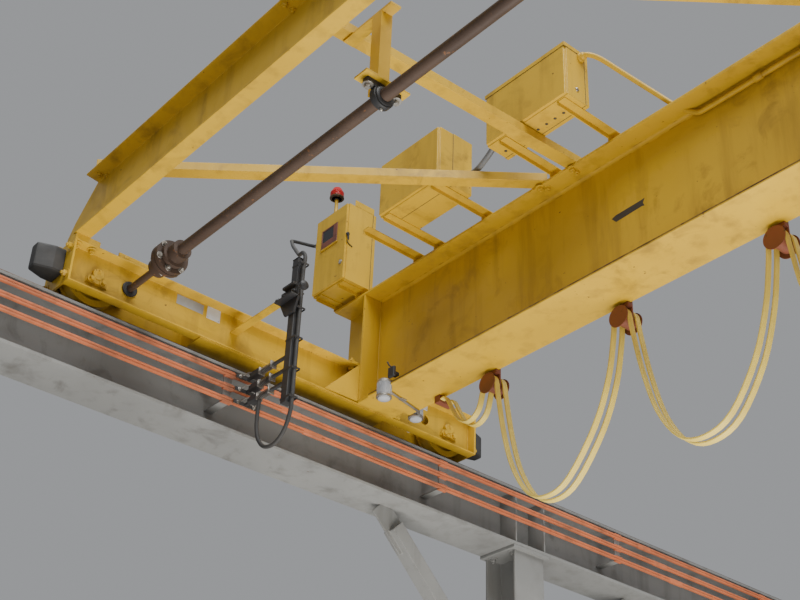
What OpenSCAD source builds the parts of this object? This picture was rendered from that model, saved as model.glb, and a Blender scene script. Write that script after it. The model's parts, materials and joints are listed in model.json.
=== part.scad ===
// Overhead bridge crane: one girder with an outrigger truss, two end trucks driven by a line
// shaft, and the free-standing runway that carries them. X runs along the span, Y along the
// runway, Z is up, and the origin is on the floor at the middle of the runway. Millimetres.

/* [Runway] */
// Distance between the two rails, centre to centre
span = 11240; // [10600:10:12000]
// Height of the rail's running face above the floor
rail_top = 5400; // [4800:10:6500]
// Spacing of the columns along the runway
bay = 6100; // [5600:10:7000]
// Depth of the runway beam
beam_h = 373; // [340:1:420]
// Width of the runway beam's flanges
beam_w = 300; // [260:1:330]
// Thickness of the runway beam's flanges
beam_tf = 20; // [14:0.5:26]
// Thickness of the runway beam's web
beam_tw = 12; // [9:0.5:18]
// Height of the rail
rail_h = 89; // [70:1:100]
// Width of the rail's base
rail_base = 89; // [70:1:100]
// Width of the rail's head
rail_head = 46; // [38:1:52]

/* [Columns] */
// Depth of a column across its flanges
col_d = 254; // [220:1:300]
// Width of a column's flanges
col_w = 246; // [200:1:280]
// Thickness of a column's flanges
col_tf = 14; // [10:0.5:20]
// Thickness of a column's web
col_tw = 9; // [7:0.5:14]
// Side of the square base plate
base_w = 460; // [400:10:520]
// Thickness of the base plate
base_t = 25; // [18:1:35]
// Anchor hole spacing in the base plate
anchor_pitch = 360; // [330:5:380]
// Radius of an anchor hole
anchor_r = 13.5; // [9:0.5:18]
// Side of the square knee brace tube
brace_w = 89; // [70:1:110]
// Reach of a knee brace along the beam from the column's centre
brace_run = 1080; // [900:10:1300]

/* [Bridge] */
// Place of the bridge along the runway, from the middle column
bridge_y = -1860; // [-2200:10:-1700]
// Depth of the girder
girder_h = 753; // [700:1:800]
// Width of the girder's flanges
girder_w = 265; // [240:1:300]
// Thickness of the girder's flanges
girder_tf = 17; // [12:0.5:24]
// Thickness of the girder's web
girder_tw = 13; // [9:0.5:18]
// Place of the girder across the trucks, from their middle
girder_off = 590; // [540:5:640]
// Depth of the outrigger channel
chord_h = 381; // [340:1:400]
// Width of the outrigger channel's flanges
chord_w = 86; // [70:1:100]
// Web thickness of the outrigger channel
chord_tw = 10; // [8:0.5:14]
// Place of the outrigger channel's back, from the middle of the trucks
chord_off = -1320; // [-1332:1:-1316]
// Flat leg of the lacing angles
angle_leg = 76; // [64:1:90]
// Upright leg of the lacing angles
angle_up = 51; // [40:1:54]
// Thickness of the lacing angles
angle_t = 9; // [6:0.5:12]

/* [Trucks] */
// Depth of a truck's channels
truck_h = 254; // [240:1:290]
// Width of a truck channel's flanges
truck_f = 66; // [60:1:75]
// Web thickness of a truck channel
truck_tw = 6; // [5:0.5:9]
// Clear width between the two webs
truck_gap = 140; // [136:1:160]
// Distance between the two axles
wheelbase = 2440; // [2420:5:2480]
// Distance from an axle to the outer face of its end plate
wheel_setback = 180; // [170:5:230]
// Thickness of the end plates
end_t = 12; // [8:0.5:18]
// Thickness of the seat plates on top of the trucks
seat_t = 12; // [8:0.5:18]

/* [Wheels and drive] */
// Radius of the wheel's tread
wheel_r = 152.4; // [148:0.1:156]
// Height of the wheel's flanges over its tread
flange_h = 10; // [8:0.5:12]
// Width of the tread between the flanges
tread_w = 60; // [56:1:62]
// Thickness of a wheel flange
flange_t = 12; // [9:0.5:13]
// Radius of the fixed axles
axle_r = 32.5; // [28:0.5:36]
// Teeth of the gear on each driven wheel
gear_n = 48;
// Teeth of the pinions
pinion_n = 12;
// Radius of the line shaft inside the trucks
stub_r = 19; // [17:0.5:20]
// Radius of the long line shaft
shaft_r = 30; // [24:0.5:34]

/* [Electrical] */
// Height of the switch box
box1_h = 560; // [500:10:650]
// Height of the control box
box2_h = 360; // [320:10:450]
// Height of the resistor box
box3_h = 340; // [300:10:400]
// Pitch of the conductor bars
bar_pitch = 76; // [70:1:85]
// Height of a conductor bar
bar_h = 26; // [20:1:34]
// Width of a conductor bar
bar_w = 18; // [14:1:22]

/* [Hidden] */

near = -1;
far = 1;
rolling_gap = 0.3;
axle_z = rail_top + wheel_r + rolling_gap;
truck_bottom = axle_z - truck_h / 2;
truck_top = axle_z + truck_h / 2;
truck_w = truck_gap + 2 * truck_f;
seat_z = truck_top + seat_t;
face_x = span / 2 - truck_w / 2;
girder_bottom = truck_bottom - 8;
girder_top = girder_bottom + girder_h;
girder_y = bridge_y + girder_off;
girder_end = face_x - 14;
cover_w = girder_w + 54;
cover_t = 16;
cover_end = girder_end - 120;
chord_y = bridge_y + chord_off;
chord_seat = 30;
chord_z = truck_top + chord_seat;
chord_top = chord_z + chord_h;
flange_gap = 5;
truck_l = wheelbase + 2 * wheel_setback;
drive_y = bridge_y - wheelbase / 2;
idler_y = bridge_y + wheelbase / 2;
gear_module = 6.35;
gear_dist = gear_module * (gear_n + pinion_n) / 2;
shaft_y = drive_y + gear_dist;
run = 0.05;
gear_in = tread_w / 2 + flange_t + flange_gap;
gear_w = truck_gap / 2 - flange_gap - gear_in;
beam_top = rail_top - rail_h;
beam_bottom = beam_top - beam_h;
cap_t = 20;
col_top = beam_bottom - cap_t;
runway_l = 2 * bay + 300;

steel_yellow = [0.83, 0.66, 0.18];
steel_grey = [0.52, 0.52, 0.50];
bar_orange = [0.85, 0.45, 0.32];
shaft_brown = [0.24, 0.17, 0.13];
black = [0.09, 0.09, 0.10];
rail_steel = [0.40, 0.38, 0.36];
cable_yellow = [0.85, 0.78, 0.45];

// Profiles

// A rolled I section, its depth along Y and its flanges along X
module i_section(h, w, tf, tw) {
    square([tw, h], center = true);
    for (s = [-1, 1]) translate([0, s * (h - tf) / 2]) square([w, tf], center = true);
}

// A rolled channel with tapered flanges, its back on X = 0 and the flanges towards +X
module channel_section(h, w, tw, tip, root) {
    polygon([[0, -h / 2], [w, -h / 2], [w, -h / 2 + tip], [tw, -h / 2 + root],
        [tw, h / 2 - root], [w, h / 2 - tip], [w, h / 2], [0, h / 2]]);
}

// An equal angle, its outer corner at the origin
module angle_section(leg, t) {
    polygon([[0, 0], [leg, 0], [leg, -t], [t, -t], [t, -leg], [0, -leg]]);
}

// A flat bottom rail, its foot on Y = 0
module rail_section() {
    b = rail_base / 2;
    h = rail_head / 2;
    polygon([[-b, 0], [b, 0], [b, 5], [6, 17], [6, rail_h - 27], [h, rail_h - 20],
        [h, rail_h - 4], [h - 5, rail_h], [5 - h, rail_h], [-h, rail_h - 4], [-h, rail_h - 20],
        [-6, rail_h - 27], [-6, 17], [-b, 5]]);
}

// Extrudes a section that lies in XZ along Y, centred
module along_y(l) rotate([90, 0, 0]) linear_extrude(l, center = true) children();

// Extrudes a section whose X is the object's Y and whose Y is Z along X, centred
module along_x(l) rotate([90, 0, 90]) linear_extrude(l, center = true) children();

// A plain box from its lowest to its highest corner
module block(lo, hi) translate(lo) cube(hi - lo);

// Places its children at a truck: local X points to the middle of the span, Z = 0 at the axles
module at_truck(side)
    translate([side * span / 2, bridge_y, axle_z]) mirror([side > 0 ? 1 : 0, 0, 0]) children();

// Runway

module runway_beam(side)
    color(steel_grey) translate([side * span / 2, 0, beam_top - beam_h / 2])
        along_y(runway_l) i_section(beam_h, beam_w, beam_tf, beam_tw);

module rail(side)
    color(rail_steel) translate([side * span / 2, 0, beam_top])
        along_y(runway_l) rail_section();

// One column with its cap and base plates
module column() {
    translate([0, 0, base_t]) linear_extrude(col_top - base_t)
        rotate(90) i_section(col_d, col_w, col_tf, col_tw);
    translate([-beam_w / 2, -beam_w / 2, col_top]) cube([beam_w, beam_w, cap_t]);
    difference() {
        translate([-base_w / 2, -base_w / 2, 0]) cube([base_w, base_w, base_t]);
        for (x = [-1, 1], y = [-1, 1]) translate([x, y, 0] * anchor_pitch / 2)
            cylinder(r = anchor_r, h = 3 * base_t, center = true, $fn = 32);
    }
}

module columns(side)
    color(steel_grey) for (i = [-1 : 1]) translate([side * span / 2, i * bay, 0]) column();

// Thickness, half width and reach of the tongues that a knee brace is slotted over
gusset_t = 12;
gusset_half = 70;
gusset_reach = 300;
brace_start = 150;
brace_t = 6;

// One end of a knee brace: a gusset with a tongue along the brace, which runs at 45 degrees
module brace_gusset()
    rotate([45, 0, 0]) translate([-gusset_t / 2, -gusset_reach, -gusset_half])
        cube([gusset_t, gusset_reach, 2 * gusset_half]);

// The two gussets of a brace, cut off flush with the beam and the column's web
module brace_gussets() {
    y0 = col_tw / 2;
    z1 = beam_bottom;
    intersection() {
        union() {
            translate([0, y0 + brace_run, z1]) brace_gusset();
            translate([0, y0, z1 - brace_run]) mirror([0, 1, 0]) mirror([0, 0, 1]) brace_gusset();
        }
        block([-beam_w, y0, z1 - 2 * brace_run], [beam_w, y0 + 2 * brace_run, z1]);
    }
}

// A knee brace towards +Y from a column at Y = 0
module knee_brace() {
    reach = brace_run * sqrt(2) - 2 * brace_start;
    half = brace_w / 2;
    brace_gussets();
    difference() {
        translate([0, col_tw / 2 + brace_run, beam_bottom]) rotate([45, 0, 0])
            translate([0, -brace_start - reach, 0]) difference() {
                translate([-half, 0, -half]) cube([brace_w, reach, brace_w]);
                translate([-half + brace_t, brace_t, -half + brace_t])
                    cube([brace_w - 2 * brace_t, reach - 2 * brace_t, brace_w - 2 * brace_t]);
            }
        brace_gussets();
    }
}

module knee_braces(side)
    color(steel_grey) translate([side * span / 2, 0, 0]) for (i = [-1 : 1]) {
        if (i < 1) translate([0, i * bay, 0]) knee_brace();
        if (i > -1) translate([0, i * bay, 0]) mirror([0, 1, 0]) knee_brace();
    }

// Rail stops, one on each end of each rail
stop_h = 170;
stop_y = runway_l / 2 - 30;
module end_stops()
    color(steel_yellow) for (side = [near, far], end = [-1, 1])
        translate([side * span / 2, end * stop_y, 0]) mirror([0, end > 0 ? 1 : 0, 0]) {
            block([-70, 0, rail_top], [70, 16, rail_top + stop_h]);
            block([-6, -28, rail_top], [6, 0, rail_top + stop_h]);
        }

// Conductor bars on the inner side of the near runway beam
bar_x = -span / 2 + beam_w / 2 + 30;
bar_top = beam_top - 55;
bar_count = 3;
hanger_pitch = 1525;
hanger_n = 8;
function bar_z(i) = bar_top - bar_h / 2 - i * bar_pitch;

module conductor_bars()
    color(bar_orange) for (i = [0 : bar_count - 1])
        translate([bar_x, 0, bar_z(i)]) along_y(runway_l - 200) difference() {
            square([bar_w, bar_h], center = true);
            translate([bar_w / 2, 0]) square([8, 8], center = true);
        }

module bar_hangers()
    color(steel_grey) for (k = [0 : hanger_n - 1])
        translate([0, (k - (hanger_n - 1) / 2) * hanger_pitch, 0]) {
            back = bar_x - bar_w / 2;
            low = bar_z(bar_count - 1) - bar_h / 2;
            block([back - 8, -25, low], [back, 25, bar_top]);
            block([-span / 2 + beam_tw / 2, -25, low], [back - 8, 25, low + 8]);
        }

// Bridge girder

module girder()
    color(steel_yellow) difference() {
        translate([0, girder_y, girder_bottom + girder_h / 2])
            along_x(2 * (face_x + truck_w - 4)) i_section(girder_h, girder_w, girder_tf, girder_tw);
        for (side = [near, far]) mirror([side > 0 ? 0 : 1, 0, 0])
            block([girder_end, girder_y - girder_w, girder_bottom - 1],
                [face_x + 2 * truck_w, girder_y + girder_w, seat_z]);
    }

module girder_cover_plate()
    color(steel_yellow) block([-cover_end, girder_y - cover_w / 2, girder_bottom - cover_t],
        [cover_end, girder_y + cover_w / 2, girder_bottom]);

// Stiffeners at the girder's ends, one in each side of the web, with the sloped end gusset
module girder_end_plates()
    color(steel_yellow) for (side = [0, 1]) mirror([side, 0, 0]) {
        for (s = [-1, 1]) translate([girder_end - 14, girder_y, 0]) {
            block([0, s > 0 ? girder_tw / 2 : -girder_w / 2, girder_bottom + girder_tf],
                [12, s > 0 ? girder_w / 2 : -girder_tw / 2, girder_top - girder_tf]);
        }
        translate([girder_end, girder_y, 0]) rotate([90, 0, 90]) linear_extrude(12)
            polygon([[-girder_w / 2 - 230, truck_bottom + 8], [girder_w / 2 + 60, truck_bottom + 8],
                [girder_w / 2 + 60, seat_z - 20], [-girder_w / 2, seat_z - 20]]);
    }

// Outrigger channel: its flanges stop at the trucks and its chamfered web runs on over them
chord_end = face_x + truck_w - 6;
module outrigger_chord()
    color(steel_yellow) translate([0, chord_y, chord_z + chord_h / 2]) {
        rotate([90, 0, -90]) linear_extrude(2 * (face_x + 14), center = true)
            channel_section(chord_h, chord_w, chord_tw, 9, 19);
        for (side = [0, 1]) mirror([side, 0, 0]) rotate([90, 0, 0]) linear_extrude(chord_tw)
            polygon([[face_x + 14, -chord_h / 2], [chord_end, -chord_h / 2],
                [chord_end, -chord_h / 2 + 120], [chord_end - 60, -chord_h / 2 + 200],
                [face_x + 14, chord_h / 2]]);
    }

// Horizontal truss: angles laid on the outrigger's top flange and on the girder's

truss_bay = face_x / 3;
truss_y0 = chord_y - chord_w;
truss_y1 = girder_y - girder_w / 2;
tilt = atan((girder_top - chord_top) / (truss_y1 - truss_y0));
truss_w = (truss_y1 - truss_y0) / cos(tilt);

// Places its children on the sloping plane of the truss: Y = 0 at the outrigger's outer edge
module on_truss() translate([0, truss_y0, chord_top]) rotate([tilt, 0, 0]) children();

// Cuts away what would stand above the plane of the truss
module below_truss() difference() {
    children();
    on_truss() block([-span, -truss_w, 0], [span, 2 * truss_w, truss_w]);
}

// A lacing angle from one point of that plane to another, its upright leg on the far side
module lacing(a, b) {
    v = b - a;
    on_truss() translate([a[0], a[1], 0]) rotate(atan2(v[1], v[0])) rotate([90, 0, 90])
        linear_extrude(norm(v)) polygon([[0, 0], [-angle_leg, 0], [-angle_leg, angle_up],
            [angle_t - angle_leg, angle_up], [angle_t - angle_leg, angle_t], [0, angle_t]]);
}

// Near edge of each post, past its panel point
post_x = [for (i = [0 : 2]) i == 0 ? -angle_leg / 2 : -i * truss_bay - 84 - angle_leg];
module truss_posts()
    color(steel_yellow) for (i = [-2 : 2]) mirror([i > 0 ? 1 : 0, 0, 0])
        lacing([post_x[abs(i)], 6], [post_x[abs(i)], truss_w + 60]);

// Run of a diagonal along the span, from its panel point to the girder's edge
diagonal_run = 1454;
module truss_diagonals()
    color(steel_yellow) for (i = [1 : 3], side = [0, 1]) mirror([side, 0, 0]) {
        x = -i * truss_bay - 30;
        k = diagonal_run / truss_w;
        lacing([x + 54 * k, 54], [x + (truss_w + 60) * k, truss_w + 60]);
    }

// End trucks, drawn about the middle of the truck at axle height

web_in = truck_gap / 2;
web_out = web_in + truck_tw;
half_w = truck_w / 2;
axle_at = [-wheelbase / 2, wheelbase / 2];
stub_at = [-wheelbase / 2 + gear_dist, wheelbase / 2 - gear_dist];
bush_r = 34;
diaphragm_at = [-wheelbase / 2 + 620, 0, wheelbase / 2 - 520];
floor_t = 8;

module truck()
    color(steel_yellow) {
        for (s = [-1, 1]) difference() {
            translate([s * web_in, 0, 0]) mirror([s < 0 ? 1 : 0, 0, 0]) rotate([90, 0, 0])
                linear_extrude(truck_l - 2 * end_t, center = true)
                channel_section(truck_h, truck_f, truck_tw, 7, 15);
            for (y = axle_at) translate([0, y, 0]) rotate([0, 90, 0])
                cylinder(r = axle_r, h = 2 * truck_w, center = true, $fn = 48);
            for (y = stub_at) translate([0, y, 0]) rotate([0, 90, 0])
                cylinder(r = bush_r, h = 2 * truck_w, center = true, $fn = 48);
        }
        for (e = [-1, 1]) translate([0, e * (truck_l - end_t) / 2, 0])
            cube([truck_w, end_t, truck_h], center = true);
        for (y = diaphragm_at) translate([0, y, 0])
            cube([truck_gap, 10, truck_h], center = true);
        block([-half_w + 6, diaphragm_at[0] - 5, -truck_h / 2 - floor_t],
            [half_w - 6, diaphragm_at[2] + 5, -truck_h / 2]);
        block([-half_w, girder_off - girder_w / 2 - 40, truck_h / 2],
            [half_w, girder_off + girder_w / 2 + 40, truck_h / 2 + seat_t]);
        for (s = [0, 1]) mirror([s, 0, 0]) block([web_in, -truck_l / 2, truck_h / 2],
            [half_w, chord_off + 60, truck_h / 2 + chord_seat]);
    }

// Tapered rubber bumpers on the end plates
bumper_l = 150;
module bumper() {
    translate([0, 0, -10]) linear_extrude(150, center = true) polygon([[-62, 0], [62, 0],
        [62, 60], [30, bumper_l], [-30, bumper_l], [-62, 60]]);
}

module bumpers()
    color(black) for (side = [near, far]) at_truck(side)
        for (e = [0, 1]) mirror([0, e, 0]) translate([0, truck_l / 2, 20]) bumper();

// Fixed axles with their keeper plates on the inner web
module axles(side)
    color(steel_yellow) at_truck(side) for (y = axle_at) translate([0, y, 0]) {
        rotate([0, 90, 0]) cylinder(r = axle_r, h = 2 * web_out + 36, center = true, $fn = 48);
        block([web_out, -62, -axle_r - 28], [web_out + 6, 62, -axle_r - 2]);
        block([web_out + 6, -50, -axle_r - 24], [web_out + 14, 50, -axle_r + 9]);
    }

// A crane wheel on its side: two flanges, a dished web and a hub. The gear side is towards -X
hub_r = 58;
hub_l = truck_gap - 2 * flange_gap;
rim_t = 26;
module wheel()
    color(steel_yellow) rotate([0, 90, 0]) rotate_extrude($fn = 96) {
        f = tread_w / 2 + flange_t;
        polygon([[wheel_r - rim_t, -f], [wheel_r + flange_h, -f],
            [wheel_r + flange_h, -f + 7], [wheel_r, -tread_w / 2], [wheel_r, tread_w / 2],
            [wheel_r + flange_h, f - 7], [wheel_r + flange_h, f], [wheel_r - rim_t, f],
            [wheel_r - rim_t - 6, 14], [hub_r + 6, 14], [hub_r, hub_l / 2],
            [axle_r + run, hub_l / 2], [axle_r + run, -hub_l / 2],
            [hub_r, -hub_l / 2], [hub_r + 6, -14], [wheel_r - rim_t - 6, -14]]);
    }

module truck_wheel(side, y) at_truck(side) translate([0, y, 0]) wheel();

// Gearing: teeth drawn from the involute of the pitch circle

pressure = 20;
addendum = 0.85 * gear_module;
dedendum = 1.1 * gear_module;
backlash = 1.4;

// Half the angle that a tooth fills at radius r
function inv(a) = tan(a) * 180 / PI - a;
function tooth_half(n, r) =
    let (rp = n * gear_module / 2, rb = rp * cos(pressure), a = acos(min(1, rb / r)))
    90 / n - backlash / 4 / rp * 180 / PI + inv(pressure) - inv(a);
function polar(r, a) = [r * cos(a), r * sin(a)];
function tooth(n, i) =
    let (rp = n * gear_module / 2, rb = rp * cos(pressure), a = 360 * i / n,
        rs = [rp - dedendum, max(rb, rp - dedendum / 2), rp, rp + addendum / 2, rp + addendum])
    concat([for (k = [0 : 4]) polar(rs[k], a - tooth_half(n, max(rs[k], rb)))],
        [for (k = [4 : -1 : 0]) polar(rs[k], a + tooth_half(n, max(rs[k], rb)))]);

module gear_profile(n) polygon([for (i = [0 : n - 1]) each tooth(n, i)]);

// The gear ring of a driven wheel, on the outer side of the wheel's flange
module gear_ring(side)
    color(rail_steel) at_truck(side) translate([0, axle_at[0], 0]) {
        rim_in = wheel_r - rim_t;
        translate([-gear_in - gear_w, 0, 0]) rotate([0, 90, 0]) linear_extrude(gear_w)
            difference() {
                gear_profile(gear_n);
                circle(r = rim_in, $fn = 96);
            }
        translate([-gear_in, 0, 0]) rotate([0, 90, 0]) linear_extrude(flange_gap)
            difference() {
                circle(r = rim_in + 14, $fn = 96);
                circle(r = rim_in, $fn = 96);
            }
    }

// A pinion keyed on the line shaft's end
module pinion(side)
    color(rail_steel) at_truck(side) translate([-gear_in - gear_w, stub_at[0], 0])
        rotate([0, 90, 0]) linear_extrude(gear_w) difference() {
            rotate(180 / pinion_n) gear_profile(pinion_n);
            circle(r = stub_r, $fn = 48);
        }

// Flanged bushes of the line shaft in both webs
module truck_bushes() {
    for (s = [-1, 1]) translate([s * web_in, stub_at[0], 0]) rotate([0, s * 90, 0])
        difference() {
            union() {
                translate([0, 0, -2]) cylinder(r = bush_r, h = truck_tw + 2, $fn = 48);
                translate([0, 0, truck_tw]) cylinder(r = bush_r + 10, h = 12, $fn = 48);
            }
            translate([0, 0, -5]) cylinder(r = stub_r + run, h = 60, $fn = 48);
        }
}

// Line shaft with its stub ends, couplings and hanging bearings

coupling_x = face_x - 330;
coupling_l = 240;
bearing_x = [for (s = [-1, 1], i = [1, 2]) s * (i * truss_bay - 162)];
drive_l = 560;
module line_shaft()
    color(shaft_brown) translate([0, shaft_y, axle_z]) rotate([0, 90, 0]) {
        cylinder(r = shaft_r, h = 2 * coupling_x, center = true, $fn = 48);
        for (s = [0, 1]) mirror([0, 0, s]) translate([0, 0, coupling_x])
            cylinder(r = stub_r, h = span / 2 + web_out + 16 - coupling_x, $fn = 48);
    }

// A ribbed flange coupling between a stub and the long shaft
module coupling(r1, r2)
    rotate([0, 90, 0]) rotate_extrude($fn = 48) polygon([[r1, 0], [52, 0], [52, 60], [70, 60],
        [70, 84], [58, 84], [58, 92], [92, 92], [92, 117], [84, 117], [84, 123], [92, 123],
        [92, 148], [58, 148], [58, 156], [70, 156], [70, 180], [52, 180], [52, coupling_l],
        [r2, coupling_l], [r2, coupling_l / 2], [r1, coupling_l / 2]]);

module shaft_couplings()
    color(shaft_brown) translate([0, shaft_y, axle_z]) for (s = [0, 1]) mirror([s, 0, 0])
        translate([-coupling_x - coupling_l / 2, 0, 0]) coupling(stub_r, shaft_r);

// Hangers: an angle down from a cleat on each lacing post, with a bearing plate at its foot
bearing_r = 62;
bearing_t = 34;
hanger_foot = axle_z + 62;
module shaft_hangers()
    color(steel_yellow) for (x = bearing_x) mirror([x > 0 ? 1 : 0, 0, 0]) below_truss()
        translate([-abs(x), shaft_y, 0]) {
            translate([28, 0, hanger_foot + 10]) linear_extrude(2 * (chord_top - hanger_foot))
                rotate(90) mirror([0, 1]) translate([0, -64]) angle_section(64, 8);
            block([-43, -121, hanger_foot], [43, 121, hanger_foot + 10]);
            intersection() {
                block([-162 - 84 - angle_leg + 10, 0, 0], [28, 60, 2 * chord_top]);
                translate([0, -shaft_y, -12]) on_truss()
                    block([-span, -truss_w, 0], [span, 2 * truss_w, 12.5]);
            }
        }

module shaft_bearings()
    color(black) {
        for (x = bearing_x) translate([x, shaft_y, axle_z]) difference() {
            union() {
                rotate([0, 90, 0]) cylinder(r = bearing_r - 6, h = bearing_t, center = true, $fn = 48);
                block([-bearing_t / 2, -95, 30], [bearing_t / 2, 95, hanger_foot - axle_z]);
            }
            rotate([0, 90, 0]) cylinder(r = shaft_r + run, h = 200, center = true, $fn = 48);
        }
        for (side = [near, far]) at_truck(side) truck_bushes();
    }

// Drive unit at the middle of the span: a shaft mounted reducer with a flanged motor
module drive_unit()
    color(steel_grey) below_truss() translate([0, shaft_y, axle_z]) {
        difference() {
            block([-90, -120, -120], [90, 130, 210]);
            rotate([0, 90, 0]) cylinder(r = shaft_r + run, h = 400, center = true, $fn = 48);
        }
        translate([90, 0, 150]) rotate([0, 90, 0]) {
            cylinder(r = 110, h = 20, $fn = 48);
            translate([0, 0, 20]) cylinder(r = 95, h = 240, $fn = 48);
            translate([0, 0, 260]) cylinder(r = 85, h = 50, $fn = 48);
        }
        block([-60, -40, 210], [60, 40, 900]);
    }

// Electrical boxes on brackets beside the girder's top flange. Each is [x, width, y back, depth]

box_z = girder_top + 46;
flange_edge = girder_y - girder_w / 2;
box1 = [-face_x - 306, 310, flange_edge + 70, 228];
box2 = [-face_x + 616, 495, flange_edge - 146, 250];
box3 = [-face_x + 1473, 570, flange_edge - 218, 170];

// An enclosure with a lid that stands proud of its front, which faces -Y
module enclosure(b, h) {
    block([b[0], b[2] - b[3] + 16, box_z], [b[0] + b[1], b[2], box_z + h]);
    block([b[0] + 6, b[2] - b[3], box_z + 6], [b[0] + b[1] - 6, b[2] - b[3] + 16, box_z + h - 6]);
}

gland = [box1[0], box1[2] - box1[3] + 44, box_z + box1_h - 135];
// A lamp on a stem that stands on the switch box, behind its lid
lamp_r = 42;
lamp_stem = 124;
lamp = [box1[0] + box1[1] / 2 - 5, box1[2] - box1[3] + 28, box_z + box1_h];
module switch_box()
    color(steel_yellow) {
        enclosure(box1, box1_h);
        translate([lamp[0], lamp[1], lamp[2] - 6]) cylinder(r = 11, h = lamp_stem + 8, $fn = 24);
        translate([lamp[0], lamp[1], lamp[2] + lamp_stem]) {
            cylinder(r = lamp_r - 10, h = 14, $fn = 40);
            translate([0, 0, 14]) cylinder(r = lamp_r, h = 34, $fn = 40);
            translate([0, 0, 48]) cylinder(r1 = lamp_r, r2 = lamp_r - 14, h = 30, $fn = 40);
        }
        translate(gland) rotate([0, -90, 0]) cylinder(r = 17, h = 26, $fn = 32);
    }

module control_box()
    color(steel_yellow) enclosure(box2, box2_h);

module resistor_box()
    color(steel_yellow) enclosure(box3, box3_h);

// Angle brackets that carry a box out from the girder's top flange
bracket_at = [[box1, 50], [box1, 260], [box2, -128], [box2, 50], [box2, 445], [box3, 110], [box3, 520]];
module box_brackets()
    color(steel_yellow) for (p = bracket_at) translate([p[0][0] + p[1], 0, 0]) {
        front = p[0][2] - p[0][3] + 20;
        block([-25, front, box_z - 6], [25, flange_edge + 60, box_z]);
        block([-25, flange_edge, girder_top], [-19, flange_edge + 60, box_z - 6]);
        block([-25, front, box_z - 30], [-19, flange_edge, box_z - 6]);
    }

// Collector: an arm bolted to the near truck, a post clamped on it and the shoes on the bars

mast_x = bar_x + 400;
post_y = bridge_y - 320;
post_w = 50;
arm_z = axle_z + 8;
arm_leg = 50;
post_low = arm_z - 610;
post_high = arm_z + 262;
module collector_arm()
    color(steel_yellow) {
        block([-span / 2 + web_out, post_y - post_w / 2 - 6, arm_z],
            [mast_x + 60, post_y - post_w / 2, arm_z + arm_leg]);
        block([-span / 2 + web_out, post_y - post_w / 2 - arm_leg, arm_z],
            [mast_x + 60, post_y - post_w / 2 - 6, arm_z + 6]);
    }
module collector_post()
    color(black) {
        block([mast_x - post_w / 2, post_y - post_w / 2, post_low],
            [mast_x + post_w / 2, post_y + post_w / 2, post_high]);
        block([mast_x - 45, post_y - post_w / 2 - 14, arm_z + arm_leg],
            [mast_x + post_w / 2, post_y + post_w / 2 + 8, arm_z + arm_leg + 8]);
    }

// Sprung shoes on long arms that run against the inner face of each bar
shoe_gap = 0.3;
module collector_shoes()
    color(black) for (i = [0 : bar_count - 1]) translate([0, post_y, bar_z(i)]) {
        face = bar_x + bar_w / 2 + shoe_gap;
        block([face, -75, -9], [face + 14, 75, 9]);
        block([face + 14, -8, -7], [mast_x - post_w / 2, 8, 7]);
        block([face + 60, -24, -14], [face + 130, 24, 14]);
    }

// Festoon: small trolleys on the far edge of the girder's cover plate

trolley_x = [830, 1765, 2690];
cover_edge = girder_y + cover_w / 2;
saddle_r = 38;
saddle_z = -100;
module festoon_trolley() {
    block([-45, 3, -110], [45, 11, 30]);
    block([-45, -24, -40], [45, 3, -cover_t - 3]);
    for (x = [-26, 26]) translate([x, 0, 15]) rotate([90, 0, 0]) {
        translate([0, 0, 2]) cylinder(r = 15, h = 23, $fn = 32);
        translate([0, 0, -16]) cylinder(r = 7, h = 20, $fn = 20);
    }
    translate([0, 4, saddle_z]) rotate([90, 0, 0]) {
        cylinder(r = saddle_r, h = 104, center = true, $fn = 40);
        for (e = [-1, 1]) translate([0, 0, e * 54])
            cylinder(r = saddle_r + 22, h = 4, center = true, $fn = 40);
    }
}

// The trolleys and the clamp that holds the cables' fixed end
module festoon_trolleys()
    color("sienna") translate([-face_x, cover_edge, girder_bottom]) {
        for (x = trolley_x) translate([x, 0, 0]) festoon_trolley();
        block([404, -48, -60], [444, 56, -28]);
        block([404, -48, -28], [444, 0, -cover_t]);
    }

// Hoist: an underslung trolley on the girder's bottom flange, at rest with its block drawn up

hoist_x = -700;
side_y = cover_w / 2 + 14;
hoist_l = 620;
tie_z = girder_bottom - cover_t - 60;
drum_z = girder_bottom - cover_t - 260;
drum_r = 105;
drum_l = 420;
roller_r = 70;
module hoist_trolley()
    color(steel_grey) translate([hoist_x, girder_y, 0]) {
        for (s = [-1, 1]) {
            y = s > 0 ? side_y : -side_y - 12;
            block([-hoist_l / 2, y, drum_z - 130], [hoist_l / 2, y + 12, girder_bottom + 160]);
            for (x = [-1, 1]) translate([x * 210, 0, girder_bottom + girder_tf + roller_r + 0.2])
                rotate([s * -90, 0, 0]) {
                    translate([0, 0, girder_tw / 2 + 50]) cylinder(r = roller_r, h = 60, $fn = 48);
                    translate([0, 0, girder_tw / 2 + 44])
                        cylinder(r = 18, h = side_y - girder_tw / 2 - 24, $fn = 24);
                }
        }
        for (x = [-1, 1]) translate([x * (hoist_l / 2 - 40), 0, tie_z]) rotate([90, 0, 0])
            cylinder(r = 22, h = 2 * side_y, center = true, $fn = 24);
        block([-hoist_l / 2 - 170, side_y, -370 + girder_bottom], [-hoist_l / 2, side_y + 12,
            -306 + girder_bottom]);
        block([-hoist_l / 2 - 170, cover_w / 2 - 48, -364 + girder_bottom],
            [-hoist_l / 2 - 130, cover_w / 2 + 56, -312 + girder_bottom]);
    }

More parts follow.
